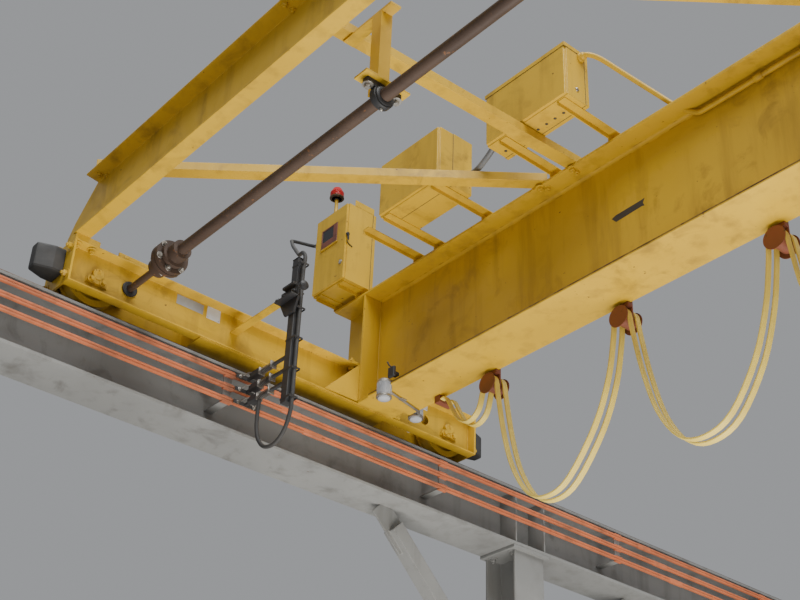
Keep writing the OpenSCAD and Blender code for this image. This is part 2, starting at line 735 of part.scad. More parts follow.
module hoist_drum()
    color(steel_grey) translate([hoist_x, girder_y, drum_z]) rotate([0, 90, 0]) {
        cylinder(r = drum_r, h = drum_l, center = true, $fn = 64);
        for (z = [-1, 1]) translate([0, 0, z * (drum_l / 2 + 8)])
            cylinder(r = drum_r + 28, h = 16, center = true, $fn = 64);
        translate([0, 0, drum_l / 2 + 16]) cylinder(r = 90, h = 260, $fn = 48);
        translate([0, 0, -drum_l / 2 - 16 - 200]) cylinder(r = 120, h = 200, $fn = 48);
        for (z = [-1, 1]) translate([0, 0, z * (drum_l / 2 - 60)])
            cube([40, 2 * side_y, 30], center = true);
    }

block_z = drum_z - 900;
rope_r = 6;
rope_at = [for (x = [-60, 60], y = [-1, 1]) [x, y * (drum_r - 22)]];
module hoist_ropes()
    color([0.3, 0.3, 0.3]) for (p = rope_at)
        translate([hoist_x + p[0], girder_y + p[1], block_z])
            cylinder(r = rope_r, h = drum_z - block_z - 72, $fn = 16);

hook_t = 26;
hook_r = 62;
throat_r = 34;
module hook_block()
    color(steel_yellow) translate([hoist_x, girder_y, block_z]) {
        block([-90, -100, -240], [90, 100, 0]);
        translate([0, 0, -240 - 60]) cylinder(r = 20, h = 60, $fn = 32);
        translate([0, 0, -240 - 60 - hook_r + 6]) rotate([90, 0, 0])
            linear_extrude(hook_t, center = true) difference() {
                circle(r = hook_r, $fn = 64);
                translate([4, 0]) circle(r = throat_r, $fn = 48);
                translate([10, 2]) square([hook_r, 34]);
            }
    }

// Free and clipped cables

flat_w = 36;
flat_t = 12;
// Festoon route, the same for both cables: X from the near truck and Z from the girder's bottom
function over_saddle(x) = [[x - 44, -82], [x, -53], [x + 44, -82]];
festoon_route = concat([[446, -44], [480, -46], [528, -130], [590, -225], [668, -262], [744, -216]],
    over_saddle(830),
    [[891, -190], [935, -440], [1000, -660], [1110, -835], [1240, -885], [1380, -835],
        [1560, -620], [1660, -400], [1706, -190]],
    over_saddle(1765),
    [[1826, -190], [1872, -440], [1945, -690], [2060, -865], [2200, -910], [2350, -850],
        [2500, -640], [2588, -400], [2630, -190]],
    over_saddle(2690),
    [[2751, -190], [2790, -440], [2915, -730], [3130, -890], [3380, -880], [3650, -680],
        [3930, -440], [4120, -350], [4270, -338], [4303, -338]]);

// A point of a smooth curve through a route, at place t of its step i
function smooth(p, i, t) =
    let (n = len(p) - 1, a = p[max(i - 1, 0)], b = p[i], c = p[i + 1], d = p[min(i + 2, n)])
    0.5 * ((2 * b) + (c - a) * t + (2 * a - 5 * b + 4 * c - d) * t * t
        + (3 * b - a - 3 * c + d) * t * t * t);
function curve(p, k) = concat([for (i = [0 : len(p) - 2], j = [0 : k - 1]) smooth(p, i, j / k)],
    [p[len(p) - 1]]);
function heading(q, i) =
    let (v = q[min(i + 1, len(q) - 1)] - q[max(i - 1, 0)]) v / norm(v);

// Closed mesh over rings of m points each
module swept(rings, m) {
    n = len(rings);
    polyhedron([for (r = rings) each r], concat(
        [[for (j = [0 : m - 1]) j]],
        [for (i = [0 : n - 2], j = [0 : m - 1]) [i * m + j, (i + 1) * m + j,
            (i + 1) * m + (j + 1) % m, i * m + (j + 1) % m]],
        [[for (j = [m - 1 : -1 : 0]) (n - 1) * m + j]]));
}

// A flat cable that hangs in a plane of constant Y
flat_profile = [[-0.5, -0.2], [-0.4, -0.5], [0.4, -0.5], [0.5, -0.2], [0.5, 0.2], [0.4, 0.5],
    [-0.4, 0.5], [-0.5, 0.2]];
module flat_cable(route, y) {
    q = curve(route, 2);
    swept([for (i = [0 : len(q) - 1]) let (h = heading(q, i))
        [for (s = flat_profile) [q[i][0] - h[1] * s[1] * flat_t - face_x, y + s[0] * flat_w,
            q[i][1] + h[0] * s[1] * flat_t + girder_bottom]]], 8);
}

festoon_y = [cover_edge - 26, cover_edge + 34];
module festoon_cable_a() color(cable_yellow) flat_cable(festoon_route, festoon_y[0]);
module festoon_cable_b() color(cable_yellow) flat_cable(festoon_route, festoon_y[1]);

// Round cable from the switch box, down the collector's post and up to the lowest shoe
cable_r = 11;
cable_top = gland + [-28, 0, 0];
cable_on = [mast_x + post_w / 2 + cable_r + 6, post_y, post_high - 140];
collector_sag = [[0, -25, -2, 4], [0, -57, -20, 18], [0, -83, -54, 28], [0, -92, -96, 24],
    [0.01, -91, -132, 16], [0.04, -84, -147, 13], [0.13, -79, -136, 27], [0.24, -60, -134, 30],
    [0.38, -44, -120, 41], [0.53, -17, -104, 45], [0.68, 0, -81, 58], [0.8, 22, -69, 67],
    [0.87, 54, -62, 86], [0.93, 56, -40, 80]];
foot = bar_z(bar_count - 1) - 7 - cable_on[2];
collector_route = concat([cable_top],
    [for (p = collector_sag) cable_top * (1 - p[0]) + cable_on * p[0] + [p[1], p[2], p[3]]],
    [for (p = [[2, 74], [0, 0], [0, -120], [0, -280], [0, -480], [0, post_low + 40 - cable_on[2]],
        [-4, foot - 184], [-44, foot - 278], [-118, foot - 326], [-207, foot - 312],
        [-270, foot - 248], [-296, foot - 164], [-300, foot - 84], [-294, foot - 12]])
        cable_on + [p[0], 0, p[1]]]);
profile_n = 10;
module round_cable(q, r)
    swept([for (i = [0 : len(q) - 1])
        let (h = heading(q, i), u = cross(h, [0.29, 0.83, 0.47]), a = u / norm(u), b = cross(h, a))
        [for (j = [0 : profile_n - 1]) q[i] + r * (cos(j * 360 / profile_n) * a
            + sin(j * 360 / profile_n) * b)]], profile_n);
module collector_cable() color(black) round_cable(curve(collector_route, 3), cable_r);

// The nodes

runway_beam(near);  // runway_beam_near
runway_beam(far);  // runway_beam_far
rail(near);  // rail_near
rail(far);  // rail_far
columns(near);  // columns_near
columns(far);  // columns_far
knee_braces(near);  // knee_braces_near
knee_braces(far);  // knee_braces_far
end_stops();
conductor_bars();
bar_hangers();
girder();
girder_cover_plate();
girder_end_plates();
outrigger_chord();
truss_posts();
truss_diagonals();
at_truck(near) truck();  // end_truck_near
at_truck(far) truck();  // end_truck_far
bumpers();
axles(near);  // axles_near
axles(far);  // axles_far
shaft_hangers();
shaft_bearings();
truck_wheel(near, axle_at[0]);  // wheel_near_drive
truck_wheel(near, axle_at[1]);  // wheel_near_idler
truck_wheel(far, axle_at[0]);  // wheel_far_drive
truck_wheel(far, axle_at[1]);  // wheel_far_idler
gear_ring(near);  // gear_near
gear_ring(far);  // gear_far
pinion(near);  // pinion_near
pinion(far);  // pinion_far
line_shaft();
shaft_couplings();
drive_unit();
switch_box();
control_box();
resistor_box();
box_brackets();
collector_arm();
collector_post();
collector_shoes();
festoon_trolleys();
hoist_trolley();
hoist_drum();
hoist_ropes();
hook_block();
festoon_cable_a();
festoon_cable_b();
collector_cable();
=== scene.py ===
"""Dresses the overhead bridge crane and its runway for rendering.

The solids come from the frame, at the origin and unmoved. Here they get materials and rounded
edges, and the small parts that the photograph shows are added. Lengths are in metres.
"""
import math
import json
import random

import bpy
import bmesh
from mathutils import Vector, Matrix


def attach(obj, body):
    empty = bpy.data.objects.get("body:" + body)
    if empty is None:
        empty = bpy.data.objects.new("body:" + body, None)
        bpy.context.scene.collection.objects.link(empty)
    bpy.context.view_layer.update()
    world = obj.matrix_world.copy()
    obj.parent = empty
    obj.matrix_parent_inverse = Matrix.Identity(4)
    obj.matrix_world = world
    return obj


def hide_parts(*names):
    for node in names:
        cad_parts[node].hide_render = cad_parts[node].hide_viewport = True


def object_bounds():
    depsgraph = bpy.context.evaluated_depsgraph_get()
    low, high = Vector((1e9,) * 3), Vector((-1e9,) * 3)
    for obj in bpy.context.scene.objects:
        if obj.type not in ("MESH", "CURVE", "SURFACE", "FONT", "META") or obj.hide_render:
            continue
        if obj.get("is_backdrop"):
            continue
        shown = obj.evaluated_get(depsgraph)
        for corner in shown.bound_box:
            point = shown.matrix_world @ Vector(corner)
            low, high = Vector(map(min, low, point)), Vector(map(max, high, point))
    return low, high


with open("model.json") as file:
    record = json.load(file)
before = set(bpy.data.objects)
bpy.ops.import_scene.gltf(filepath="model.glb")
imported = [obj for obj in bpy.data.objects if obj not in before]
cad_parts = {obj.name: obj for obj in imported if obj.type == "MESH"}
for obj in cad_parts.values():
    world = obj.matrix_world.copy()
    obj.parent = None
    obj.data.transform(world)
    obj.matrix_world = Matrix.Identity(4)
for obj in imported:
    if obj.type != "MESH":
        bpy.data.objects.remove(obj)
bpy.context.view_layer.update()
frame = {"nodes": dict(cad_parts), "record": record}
NODE = frame["nodes"]
rng = random.Random(7)

# Camera at the photograph's viewing angle
RIGHT = Vector((0.65184218, 0.75752672, 0.03542660))
DOWN = Vector((-0.39101457, 0.37575544, -0.84018775))
AHEAD = Vector((-0.64977640, 0.53381750, 0.54113723))
cam = bpy.data.cameras.new("camera")
cam.sensor_fit = "HORIZONTAL"
cam.sensor_width = 36.0
cam.lens = 61.037
cam.clip_end = 500.0
cam_ob = bpy.data.objects.new("camera", cam)
bpy.context.scene.collection.objects.link(cam_ob)
cam_ob.matrix_world = Matrix.Translation((-0.04248, -5.57830, 1.72640)) @ Matrix(
    [[RIGHT[i], -DOWN[i], -AHEAD[i]] for i in range(3)]).to_4x4()
bpy.context.scene.camera = cam_ob

# Directions: along the span, along the runway, upward and downward
SPAN, TRAVEL, UP, UNDER = (1, 0, 0), (0, 1, 0), (0, 0, 1), (0, 0, -1)

# The crane's main places, as in the part's source
RAIL_X = 5.62
BRIDGE_Y = -1.86
AXLE_Z = 5.5527
FACE_X = 5.484
GIRDER_Y = -1.27
GIRDER_LOW = 5.4177
GIRDER_TOP = 6.1707
COVER_EDGE = -1.1105
TRUCK_TOP = 5.6797
SEAT_Z = 5.6917
CHORD_Z = 5.7097
CHORD_TOP = 6.0907
SHAFT_Y = -2.8895
BOX_Z = GIRDER_TOP + 0.046
BEAM_TOP = 5.311
BEAM_LOW = 4.938
BAR_Z = [5.243, 5.167, 5.091]
MAST = (-5.04, -2.18)
TRUSS_BAY = FACE_X / 3
TRUSS_W = 1.8652
TRUSS_EDGE = -3.266
TILT = math.radians(2.4582)
WEB = 0.0065  # half the thickness of the girder's web
FLANGE = 0.017
FLANGE_HALF = 0.1325
COVER_T = 0.016
COVER_HALF = 0.1595
AXLE_YS = (-3.08, -0.64)
TRUCK_HALF = 1.4
BEARING_XS = (-3.494, -1.666, 1.666, 3.494)
SADDLE_XS = (0.830, 1.765, 2.690)
COLUMN_YS = (-6.1, 0.0, 6.1)
HANGER_YS = [(k - 3.5) * 1.525 for k in range(8)]
LAMP = (-5.64, -1.5325, BOX_Z + 0.698)


# Materials

def rgb(*c):
    return (c[0], c[1], c[2], 1.0)


DUST = rgb(0.25, 0.22, 0.18)
PLASTIC_DUST = rgb(0.22, 0.20, 0.17)
LENS_CLEAN, LENS_DIRTY = (0.50, 0.018, 0.014), (0.30, 0.014, 0.012)


class Nodes:
    """A material with the few node kinds that this scene uses."""

    def __init__(self, name):
        self.mat = bpy.data.materials.new(name)
        self.mat.use_nodes = True
        self.t = self.mat.node_tree
        self.bsdf = self.t.nodes["Principled BSDF"]
        self.co = self.t.nodes.new("ShaderNodeTexCoord").outputs["Object"]
        self.normal = None

    def new(self, kind, **values):
        n = self.t.nodes.new(kind)
        for k, v in values.items():
            setattr(n, k, v)
        return n

    def link(self, a, b):
        self.t.links.new(a, b)

    def noise(self, scale, detail=4.0, rough=0.55, squeeze=None, distort=0.0):
        n = self.new("ShaderNodeTexNoise")
        n.inputs["Scale"].default_value = scale
        n.inputs["Detail"].default_value = detail
        n.inputs["Roughness"].default_value = rough
        n.inputs["Distortion"].default_value = distort
        src = self.co
        if squeeze:
            m = self.new("ShaderNodeMapping")
            m.inputs["Scale"].default_value = squeeze
            self.link(self.co, m.inputs["Vector"])
            src = m.outputs["Vector"]
        self.link(src, n.inputs["Vector"])
        return n.outputs["Fac"]

    def ramp(self, fac, lo, hi, a=0.0, b=1.0):
        r = self.new("ShaderNodeMapRange")
        r.inputs["From Min"].default_value = lo
        r.inputs["From Max"].default_value = hi
        r.inputs["To Min"].default_value = a
        r.inputs["To Max"].default_value = b
        self.link(fac, r.inputs["Value"])
        return r.outputs["Result"]

    def mul(self, a, b):
        m = self.new("ShaderNodeMath", operation="MULTIPLY")
        self.link(a, m.inputs[0])
        self.link(b, m.inputs[1])
        return m.outputs[0]

    def mix(self, fac, a, b):
        m = self.new("ShaderNodeMix", data_type="RGBA")
        self.link(fac, m.inputs[0])
        for s, v in ((6, a), (7, b)):
            if isinstance(v, tuple):
                m.inputs[s].default_value = v
            else:
                self.link(v, m.inputs[s])
        return m.outputs[2]

    def up(self):
        """1 on what faces up, where dust settles."""
        g = self.new("ShaderNodeNewGeometry")
        s = self.new("ShaderNodeSeparateXYZ")
        self.link(g.outputs["Normal"], s.inputs[0])
        return self.ramp(s.outputs["Z"], 0.6, 0.95)

    def above(self, z):
        """1 above a height."""
        s = self.new("ShaderNodeSeparateXYZ")
        self.link(self.co, s.inputs[0])
        return self.ramp(s.outputs["Z"], z, z + 0.0005)

    def corner(self, radius=0.004):
        """1 along worn outer and inner edges."""
        b = self.new("ShaderNodeBevel", samples=4)
        b.inputs["Radius"].default_value = radius
        g = self.new("ShaderNodeNewGeometry")
        d = self.new("ShaderNodeVectorMath", operation="DOT_PRODUCT")
        self.link(b.outputs["Normal"], d.inputs[0])
        self.link(g.outputs["Normal"], d.inputs[1])
        return self.ramp(d.outputs["Value"], 0.995, 0.86)

    def bump(self, height, strength, distance=0.002):
        n = self.new("ShaderNodeBump")
        n.inputs["Strength"].default_value = strength
        n.inputs["Distance"].default_value = distance
        self.link(height, n.inputs["Height"])
        if self.normal is not None:
            self.link(self.normal, n.inputs["Normal"])
        self.normal = n.outputs["Normal"]

    def done(self, color, rough, metal=0.0):
        self.link(color, self.bsdf.inputs["Base Color"])
        if isinstance(rough, float):
            self.bsdf.inputs["Roughness"].default_value = rough
        else:
            self.link(rough, self.bsdf.inputs["Roughness"])
        self.bsdf.inputs["Metallic"].default_value = metal
        if self.normal is not None:
            self.link(self.normal, self.bsdf.inputs["Normal"])
        return self.mat


def paint(name, light, dark, dirt, rust=(0.10, 0.045, 0.02), dirt_at=0.56, chips=0.70,
          rough=(0.34, 0.55), dust=0.5, wear=0.5, streak=0.45, peel=0.18, lens=None):
    """Old shop paint: two shades, runs, grime, worn edges, chips to rust and dust on top.

    Above the height lens it is the red of the lamp's glass.
    """
    m = Nodes(name)
    c = m.mix(m.ramp(m.noise(1.3, 3.0), 0.35, 0.65), rgb(*light), rgb(*dark))
    runs = m.ramp(m.noise(1.0, 5.0, 0.6, squeeze=(9.0, 9.0, 0.9)), 0.52, 0.78, 0.0, streak)
    c = m.mix(runs, c, rgb(*dirt))
    grime = m.mul(m.ramp(m.noise(5.5, 8.0, 0.62, distort=0.6), dirt_at, dirt_at + 0.2),
                  m.ramp(m.noise(0.9, 2.0), 0.4, 0.62, 0.15, 0.75))
    c = m.mix(grime, c, rgb(*dirt))
    chip = m.ramp(m.noise(26.0, 6.0, 0.6), chips, chips + 0.02)
    edge = m.mul(m.corner(), m.ramp(m.noise(14.0, 5.0, 0.6), 0.46, 0.60, 0.0, wear))
    c = m.mix(edge, c, rgb(*[x * 0.55 for x in dirt]))
    c = m.mix(chip, c, rgb(*rust))
    c = m.mix(m.mul(m.up(), m.ramp(m.noise(3.0, 6.0), 0.3, 0.6, 0.3, dust)), c, DUST)
    if lens:
        c = m.mix(m.above(lens), c, m.mix(grime, rgb(*LENS_CLEAN), rgb(*LENS_DIRTY)))
    m.bump(m.noise(160.0, 2.0, 0.5), peel, 0.0006)
    m.bump(chip, 0.35, -0.0008)
    r = m.ramp(m.noise(7.0, 5.0, 0.6), 0.3, 0.7, rough[0], rough[1])
    m.bsdf.inputs["Specular IOR Level"].default_value = 0.32
    return m.done(c, r)


def steel(name, light, dark, rust, rust_at=0.5, metal=0.8, rough=(0.3, 0.6)):
    """Bare or plated metal with rust in patches."""
    m = Nodes(name)
    c = m.mix(m.ramp(m.noise(4.0, 6.0), 0.35, 0.65), rgb(*light), rgb(*dark))
    r = m.ramp(m.noise(9.0, 8.0, 0.65, distort=0.4), rust_at, rust_at + 0.18)
    c = m.mix(r, c, rgb(*rust))
    m.bump(m.noise(70.0, 6.0, 0.6), 0.25, 0.0012)
    return m.done(c, m.ramp(m.noise(12.0, 4.0), 0.3, 0.7, rough[0], rough[1]), metal)


def moulded(name, light, dark, rough=(0.42, 0.6), grain=220.0, strength=0.2):
    """Plastic, rubber or glass with a fine grain and some dust."""
    m = Nodes(name)
    c = m.mix(m.ramp(m.noise(6.0, 6.0, 0.6), 0.38, 0.68), rgb(*light), rgb(*dark))
    c = m.mix(m.mul(m.up(), m.ramp(m.noise(5.0, 5.0), 0.35, 0.65, 0.15, 0.5)), c, PLASTIC_DUST)
    m.bump(m.noise(grain, 2.0), strength, 0.0008)
    return m.done(c, m.ramp(m.noise(9.0, 4.0), 0.3, 0.7, rough[0], rough[1]))


SHOP_YELLOW = ((0.60, 0.370, 0.024), (0.51, 0.308, 0.020), (0.18, 0.10, 0.020))
YELLOW = paint("yellow_paint", *SHOP_YELLOW, dirt_at=0.53, streak=0.5)
SWITCH_YELLOW = paint("switch_box_paint", *SHOP_YELLOW, dirt_at=0.53, streak=0.5, lens=LAMP[2])
GREY = paint("grey_paint", (0.235, 0.235, 0.225), (0.185, 0.185, 0.178), (0.085, 0.078, 0.068),
             dirt_at=0.54, chips=0.74, rough=(0.42, 0.62))
RED_BROWN = paint("red_brown_paint", (0.20, 0.062, 0.032), (0.14, 0.045, 0.026),
                  (0.05, 0.03, 0.02), chips=0.66)
BAR_COVER = paint("bar_cover", (0.56, 0.165, 0.068), (0.44, 0.120, 0.050), (0.15, 0.070, 0.042),
                  rust=(0.08, 0.045, 0.03), dirt_at=0.50, chips=0.74, rough=(0.40, 0.56), dust=0.3)
RAIL = steel("rail_steel", (0.24, 0.20, 0.17), (0.15, 0.12, 0.10), (0.12, 0.055, 0.028), 0.44,
             0.7, (0.4, 0.65))
GEAR = steel("gear_steel", (0.34, 0.32, 0.29), (0.20, 0.18, 0.16), (0.055, 0.042, 0.03), 0.50,
             0.85, (0.28, 0.5))
SHAFT = paint("shaft_paint", (0.082, 0.052, 0.036), (0.055, 0.036, 0.027), (0.03, 0.02, 0.016),
              rust=(0.16, 0.075, 0.035), chips=0.64, rough=(0.36, 0.6), dust=0.35)
BLACK = paint("black_metal", (0.030, 0.030, 0.032), (0.020, 0.020, 0.021), (0.045, 0.04, 0.034),
              rust=(0.09, 0.05, 0.03), chips=0.72, rough=(0.35, 0.55), dust=0.3)
BLACK_PLASTIC = moulded("black_plastic", (0.022, 0.022, 0.024), (0.034, 0.033, 0.032))
RUBBER = moulded("black_rubber", (0.026, 0.026, 0.026), (0.046, 0.043, 0.04), (0.6, 0.8), 140.0,
                 0.35)
ROPE = steel("wire_rope", (0.15, 0.15, 0.145), (0.08, 0.078, 0.074), (0.05, 0.04, 0.03), 0.55,
             0.85, (0.35, 0.55))
JACKET = moulded("cable_jacket", (0.68, 0.51, 0.095), (0.56, 0.41, 0.07), (0.42, 0.58), 300.0,
                 0.12)
ZINC = steel("zinc_bolt", (0.42, 0.40, 0.36), (0.30, 0.28, 0.25), (0.16, 0.09, 0.05), 0.56, 0.85)
FLEX = moulded("grey_jacket", (0.15, 0.155, 0.16), (0.10, 0.10, 0.105), (0.4, 0.55))
PLATE = moulded("blank_plate", (0.34, 0.35, 0.35), (0.24, 0.24, 0.24))
GLASS = moulded("dark_window", (0.012, 0.013, 0.015), (0.022, 0.022, 0.022), (0.08, 0.16), 30.0,
                0.02)
FRAME_RED = moulded("window_frame", (0.16, 0.05, 0.03), (0.10, 0.035, 0.022))
LENS_RED = moulded("red_lens", (0.50, 0.018, 0.014), (0.38, 0.012, 0.012), (0.12, 0.2), 30.0,
                   0.05)
PALE = moulded("pale_plastic", (0.62, 0.63, 0.64), (0.50, 0.50, 0.49), (0.25, 0.4))
RIBBED = moulded("ribbed_glass", (0.42, 0.43, 0.45), (0.25, 0.26, 0.28), (0.10, 0.22), 30.0, 0.05)
COPPER = steel("copper_shoe", (0.42, 0.20, 0.10), (0.28, 0.12, 0.06), (0.06, 0.035, 0.025), 0.55,
               0.8)
# Dark brown mottled with yellow and flecked with rust: a painted shadow line for the seams of the
# girder's cover plate
SEAM_SHADOW_AND_RUST = paint("weld_seam", (0.090, 0.050, 0.018), (0.42, 0.25, 0.03), (0.045, 0.026, 0.014),
                  dirt_at=0.44, chips=0.56)
# Near black: the print of the stencilled bar mark, and painted shade in the seams and holes of the
# electrical boxes
STENCIL_AND_SHADE = moulded("stencil_mark", (0.030, 0.028, 0.026), (0.055, 0.045, 0.03), (0.5, 0.65))

BY_SLOT = {"yellow_paint": YELLOW, "grey_paint": GREY, "red_brown_paint": RED_BROWN,
           "bar_cover": BAR_COVER, "rail_steel": RAIL, "gear_steel": GEAR, "shaft_paint": SHAFT,
           "black_metal": BLACK, "black_plastic": BLACK_PLASTIC, "black_rubber": RUBBER,
           "wire_rope": ROPE, "cable_jacket": JACKET}
# The slot of each material that a small part wears
SLOT = {mat.name: slot for slot, mat in BY_SLOT.items()}
SLOT.update(zinc_bolt="gear_steel", copper_shoe="gear_steel", ribbed_glass="gear_steel",
            grey_jacket="black_rubber", blank_plate="rail_steel", pale_plastic="rail_steel",
            dark_window="black_plastic", window_frame="red_brown_paint",
            red_lens="red_brown_paint", weld_seam="yellow_paint", stencil_mark="black_metal")
for row in frame["record"]["subparts"]:
    ob = NODE[row["node"]]
    ob.data.materials.clear()
    ob.data.materials.append(SWITCH_YELLOW if row["node"] == "switch_box"
                             else BY_SLOT[row["material_slot"]])

# Rolled and cut edges are never razor sharp
ROUNDED = {"girder": 0.003, "girder_cover_plate": 0.0025, "girder_end_plates": 0.002,
           "outrigger_chord": 0.003, "truss_posts": 0.0025, "truss_diagonals": 0.0025,
           "end_truck_near": 0.002, "end_truck_far": 0.002, "bumpers": 0.012,
           "switch_box": 0.004, "control_box": 0.004, "resistor_box": 0.004,
           "box_brackets": 0.0015, "collector_arm": 0.002, "collector_post": 0.004,
           "shaft_hangers": 0.0025, "runway_beam_near": 0.003, "runway_beam_far": 0.003,
           "columns_near": 0.003, "columns_far": 0.003, "knee_braces_near": 0.006,
           "knee_braces_far": 0.006, "hoist_trolley": 0.003, "hook_block": 0.006,
           "drive_unit": 0.006, "shaft_bearings": 0.004, "conductor_bars": 0.002}
for name, width in ROUNDED.items():
    ob = NODE[name]
    weld = ob.modifiers.new("weld", "WELD")
    weld.merge_threshold = 0.00001
    bevel = ob.modifiers.new("bevel", "BEVEL")
    bevel.width = width
    bevel.segments = 2
    bevel.limit_method = "ANGLE"
    bevel.angle_limit = math.radians(35)
    bevel.harden_normals = False


# Pieces

def basis(axis):
    """Two directions square to an axis."""
    d = Vector(axis).normalized()
    u = d.cross(Vector(UP) if abs(d.z) < 0.9 else Vector(TRAVEL)).normalized()
    return d, u, d.cross(u)


class Piece:
    """A mesh gathered from boxes, turned shapes, bolts and tubes, which rides on one body."""

    def __init__(self, name, mat, sharp=35, body="bridge"):
        self.name, self.mat, self.sharp, self.body = name, mat, sharp, body
        self.v, self.f = [], []

    def add(self, verts, faces):
        k = len(self.v)
        self.v += [Vector(p) for p in verts]
        self.f += [[i + k for i in f] for f in faces]

    def box(self, lo, hi, b=0.0015, turn=None, about=None):
        """A box with chamfered edges between two corners, turned by a matrix about a point."""
        lo, hi = Vector(lo), Vector(hi)
        c, h = (lo + hi) / 2, Vector([abs(d) for d in (hi - lo) / 2])
        b = min(b, 0.45 * min(h))
        key, verts, faces = {}, [], []
        for a in range(3):
            for s in (-1, 1):
                for sb in (-1, 1):
                    for sc in (-1, 1):
                        p = [0, 0, 0]
                        signs = [0, 0, 0]
                        o = [i for i in range(3) if i != a]
                        signs[a], signs[o[0]], signs[o[1]] = s, sb, sc
                        for i in range(3):
                            p[i] = c[i] + signs[i] * (h[i] if i == a else h[i] - b)
                        key[(a, tuple(signs))] = len(verts)
                        verts.append(Vector(p))
        for a in range(3):
            o = [i for i in range(3) if i != a]
            for s in (-1, 1):
                q = []
                for sb, sc in ((-1, -1), (1, -1), (1, 1), (-1, 1)):
                    g = [0, 0, 0]
                    g[a], g[o[0]], g[o[1]] = s, sb, sc
                    q.append(key[(a, tuple(g))])
                faces.append(q)
            for s0 in (-1, 1):
                for s1 in (-1, 1):
                    q = []
                    for face, end in ((o[0], -1), (o[0], 1), (o[1], 1), (o[1], -1)):
                        g = [0, 0, 0]
                        g[o[0]], g[o[1]], g[a] = s0, s1, end
                        q.append(key[(face, tuple(g))])
                    faces.append(q)
        for sx in (-1, 1):
            for sy in (-1, 1):
                for sz in (-1, 1):
                    faces.append([key[(a, (sx, sy, sz))] for a in range(3)])
        if turn is not None:
            about = Vector(about) if about is not None else c
            verts = [turn @ (p - about) + about for p in verts]
        self.add(verts, faces)

    def turned(self, profile, at, axis, n=32, twist=0.0):
        """A solid turned from (radius, place along the axis) pairs, closed at both ends."""
        d, u, w = basis(axis)
        at = Vector(at)
        verts, faces, rings = [], [], []
        for r, z in profile:
            if r <= 0:
                rings.append([len(verts)])
                verts.append(at + d * z)
            else:
                rings.append(list(range(len(verts), len(verts) + n)))
                for j in range(n):
                    a = twist + 2 * math.pi * j / n
                    verts.append(at + d * z + (u * math.cos(a) + w * math.sin(a)) * r)
        for a, b in zip(rings, rings[1:]):
            for j in range(n):
                k = (j + 1) % n
                if len(a) == 1:
                    faces.append([a[0], b[j], b[k]])
                elif len(b) == 1:
                    faces.append([a[j], b[0], a[k]])
                else:
                    faces.append([a[j], b[j], b[k], a[k]])
        for ring in (rings[0], rings[-1]):
            if len(ring) > 1:
                faces.append(ring)
        self.add(verts, faces)

    def disc(self, at, axis, r, l, n=24, c=0.1):
        """A chamfered cylinder from a point along an axis."""
        e = c * min(r, l)
        self.turned([(r - e, 0), (r, e), (r, l - e), (r - e, l)], at, axis, n)

    def bolt(self, at, axis, af=0.024, washer=True, stud=0.0):
        """A hexagon head or nut on its washer, its seat at a point and its head along the axis."""
        at, d = Vector(at), Vector(axis).normalized()
        z = 0.0
        if washer:
            self.disc(at, d, af * 0.98, 0.003, 20, 0.3)
            z = 0.0028
        h = af * 0.62
        r = af / math.sqrt(3)
        self.turned([(r, z), (r, z + h * 0.82), (r * 0.86, z + h)], at, d, 6, rng.random() * 6)
        if stud:
            self.disc(at + d * (z + h - 0.002), d, af * 0.3, stud, 14, 0.2)

    def tube(self, pts, r, n=10):
        """A round tube along points."""
        pts = [Vector(p) for p in pts]
        verts, faces = [], []
        u = None
        for i, p in enumerate(pts):
            d = (pts[min(i + 1, len(pts) - 1)] - pts[max(i - 1, 0)]).normalized()
            if u is None:
                u = basis(d)[1]
            u = (u - d * u.dot(d)).normalized()
            w = d.cross(u)
            rr = r[i] if isinstance(r, (list, tuple)) else r
            for j in range(n):
                a = 2 * math.pi * j / n
                verts.append(p + (u * math.cos(a) + w * math.sin(a)) * rr)
        for i in range(len(pts) - 1):
            for j in range(n):
                k = (j + 1) % n
                faces.append([i * n + j, i * n + k, (i + 1) * n + k, (i + 1) * n + j])
        faces.append(list(range(n)))
        faces.append([(len(pts) - 1) * n + j for j in range(n)])
        self.add(verts, faces)

    def prism(self, outline, place, thick):
        """A plate of an outline in a plane, given by a function from (a, b, c) to a point."""
        n = len(outline)
        verts = [place(a, b, 0.0) for a, b in outline] + [place(a, b, thick) for a, b in outline]
        faces = [list(range(n)), list(range(n, 2 * n))]
        faces += [[j, (j + 1) % n, n + (j + 1) % n, n + j] for j in range(n)]
        self.add(verts, faces)

    def done(self):
        me = bpy.data.meshes.new(self.name)
        me.from_pydata([tuple(p) for p in self.v], [], self.f)
        bm = bmesh.new()
        bm.from_mesh(me)
        bmesh.ops.recalc_face_normals(bm, faces=bm.faces)
        bm.to_mesh(me)
        bm.free()
        me.shade_smooth()
        me.set_sharp_from_angle(angle=math.radians(self.sharp))
        me.materials.append(self.mat)
        ob = bpy.data.objects.new(self.name, me)
        bpy.context.scene.collection.objects.link(ob)
        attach(ob, self.body)
        return ob


def smooth(p, k):
    """A smooth curve through points, k steps between each two."""
    p = [Vector(q) for q in p]
    out = []
    for i in range(len(p) - 1):
        a, b, c, d = p[max(i - 1, 0)], p[i], p[i + 1], p[min(i + 2, len(p) - 1)]
        for j in range(k):
            t = j / k
            out.append(0.5 * (2 * b + (c - a) * t + (2 * a - 5 * b + 4 * c - d) * t * t
                              + (3 * b - a - 3 * c + d) * t ** 3))
    return out + [p[-1]]


def bead(piece, a, b, r, step=0.03):
    """A weld bead of uneven thickness from a to b."""
    a, b = Vector(a), Vector(b)
    n = max(2, int((b - a).length / step))
    pts = [a.lerp(b, i / n) for i in range(n + 1)]
    piece.tube(pts, [r * (0.85 + 0.3 * rng.random()) for _ in pts], 6)


# Cords

def over_saddle(x):
    return [(x - 44, -82), (x, -53), (x + 44, -82)]


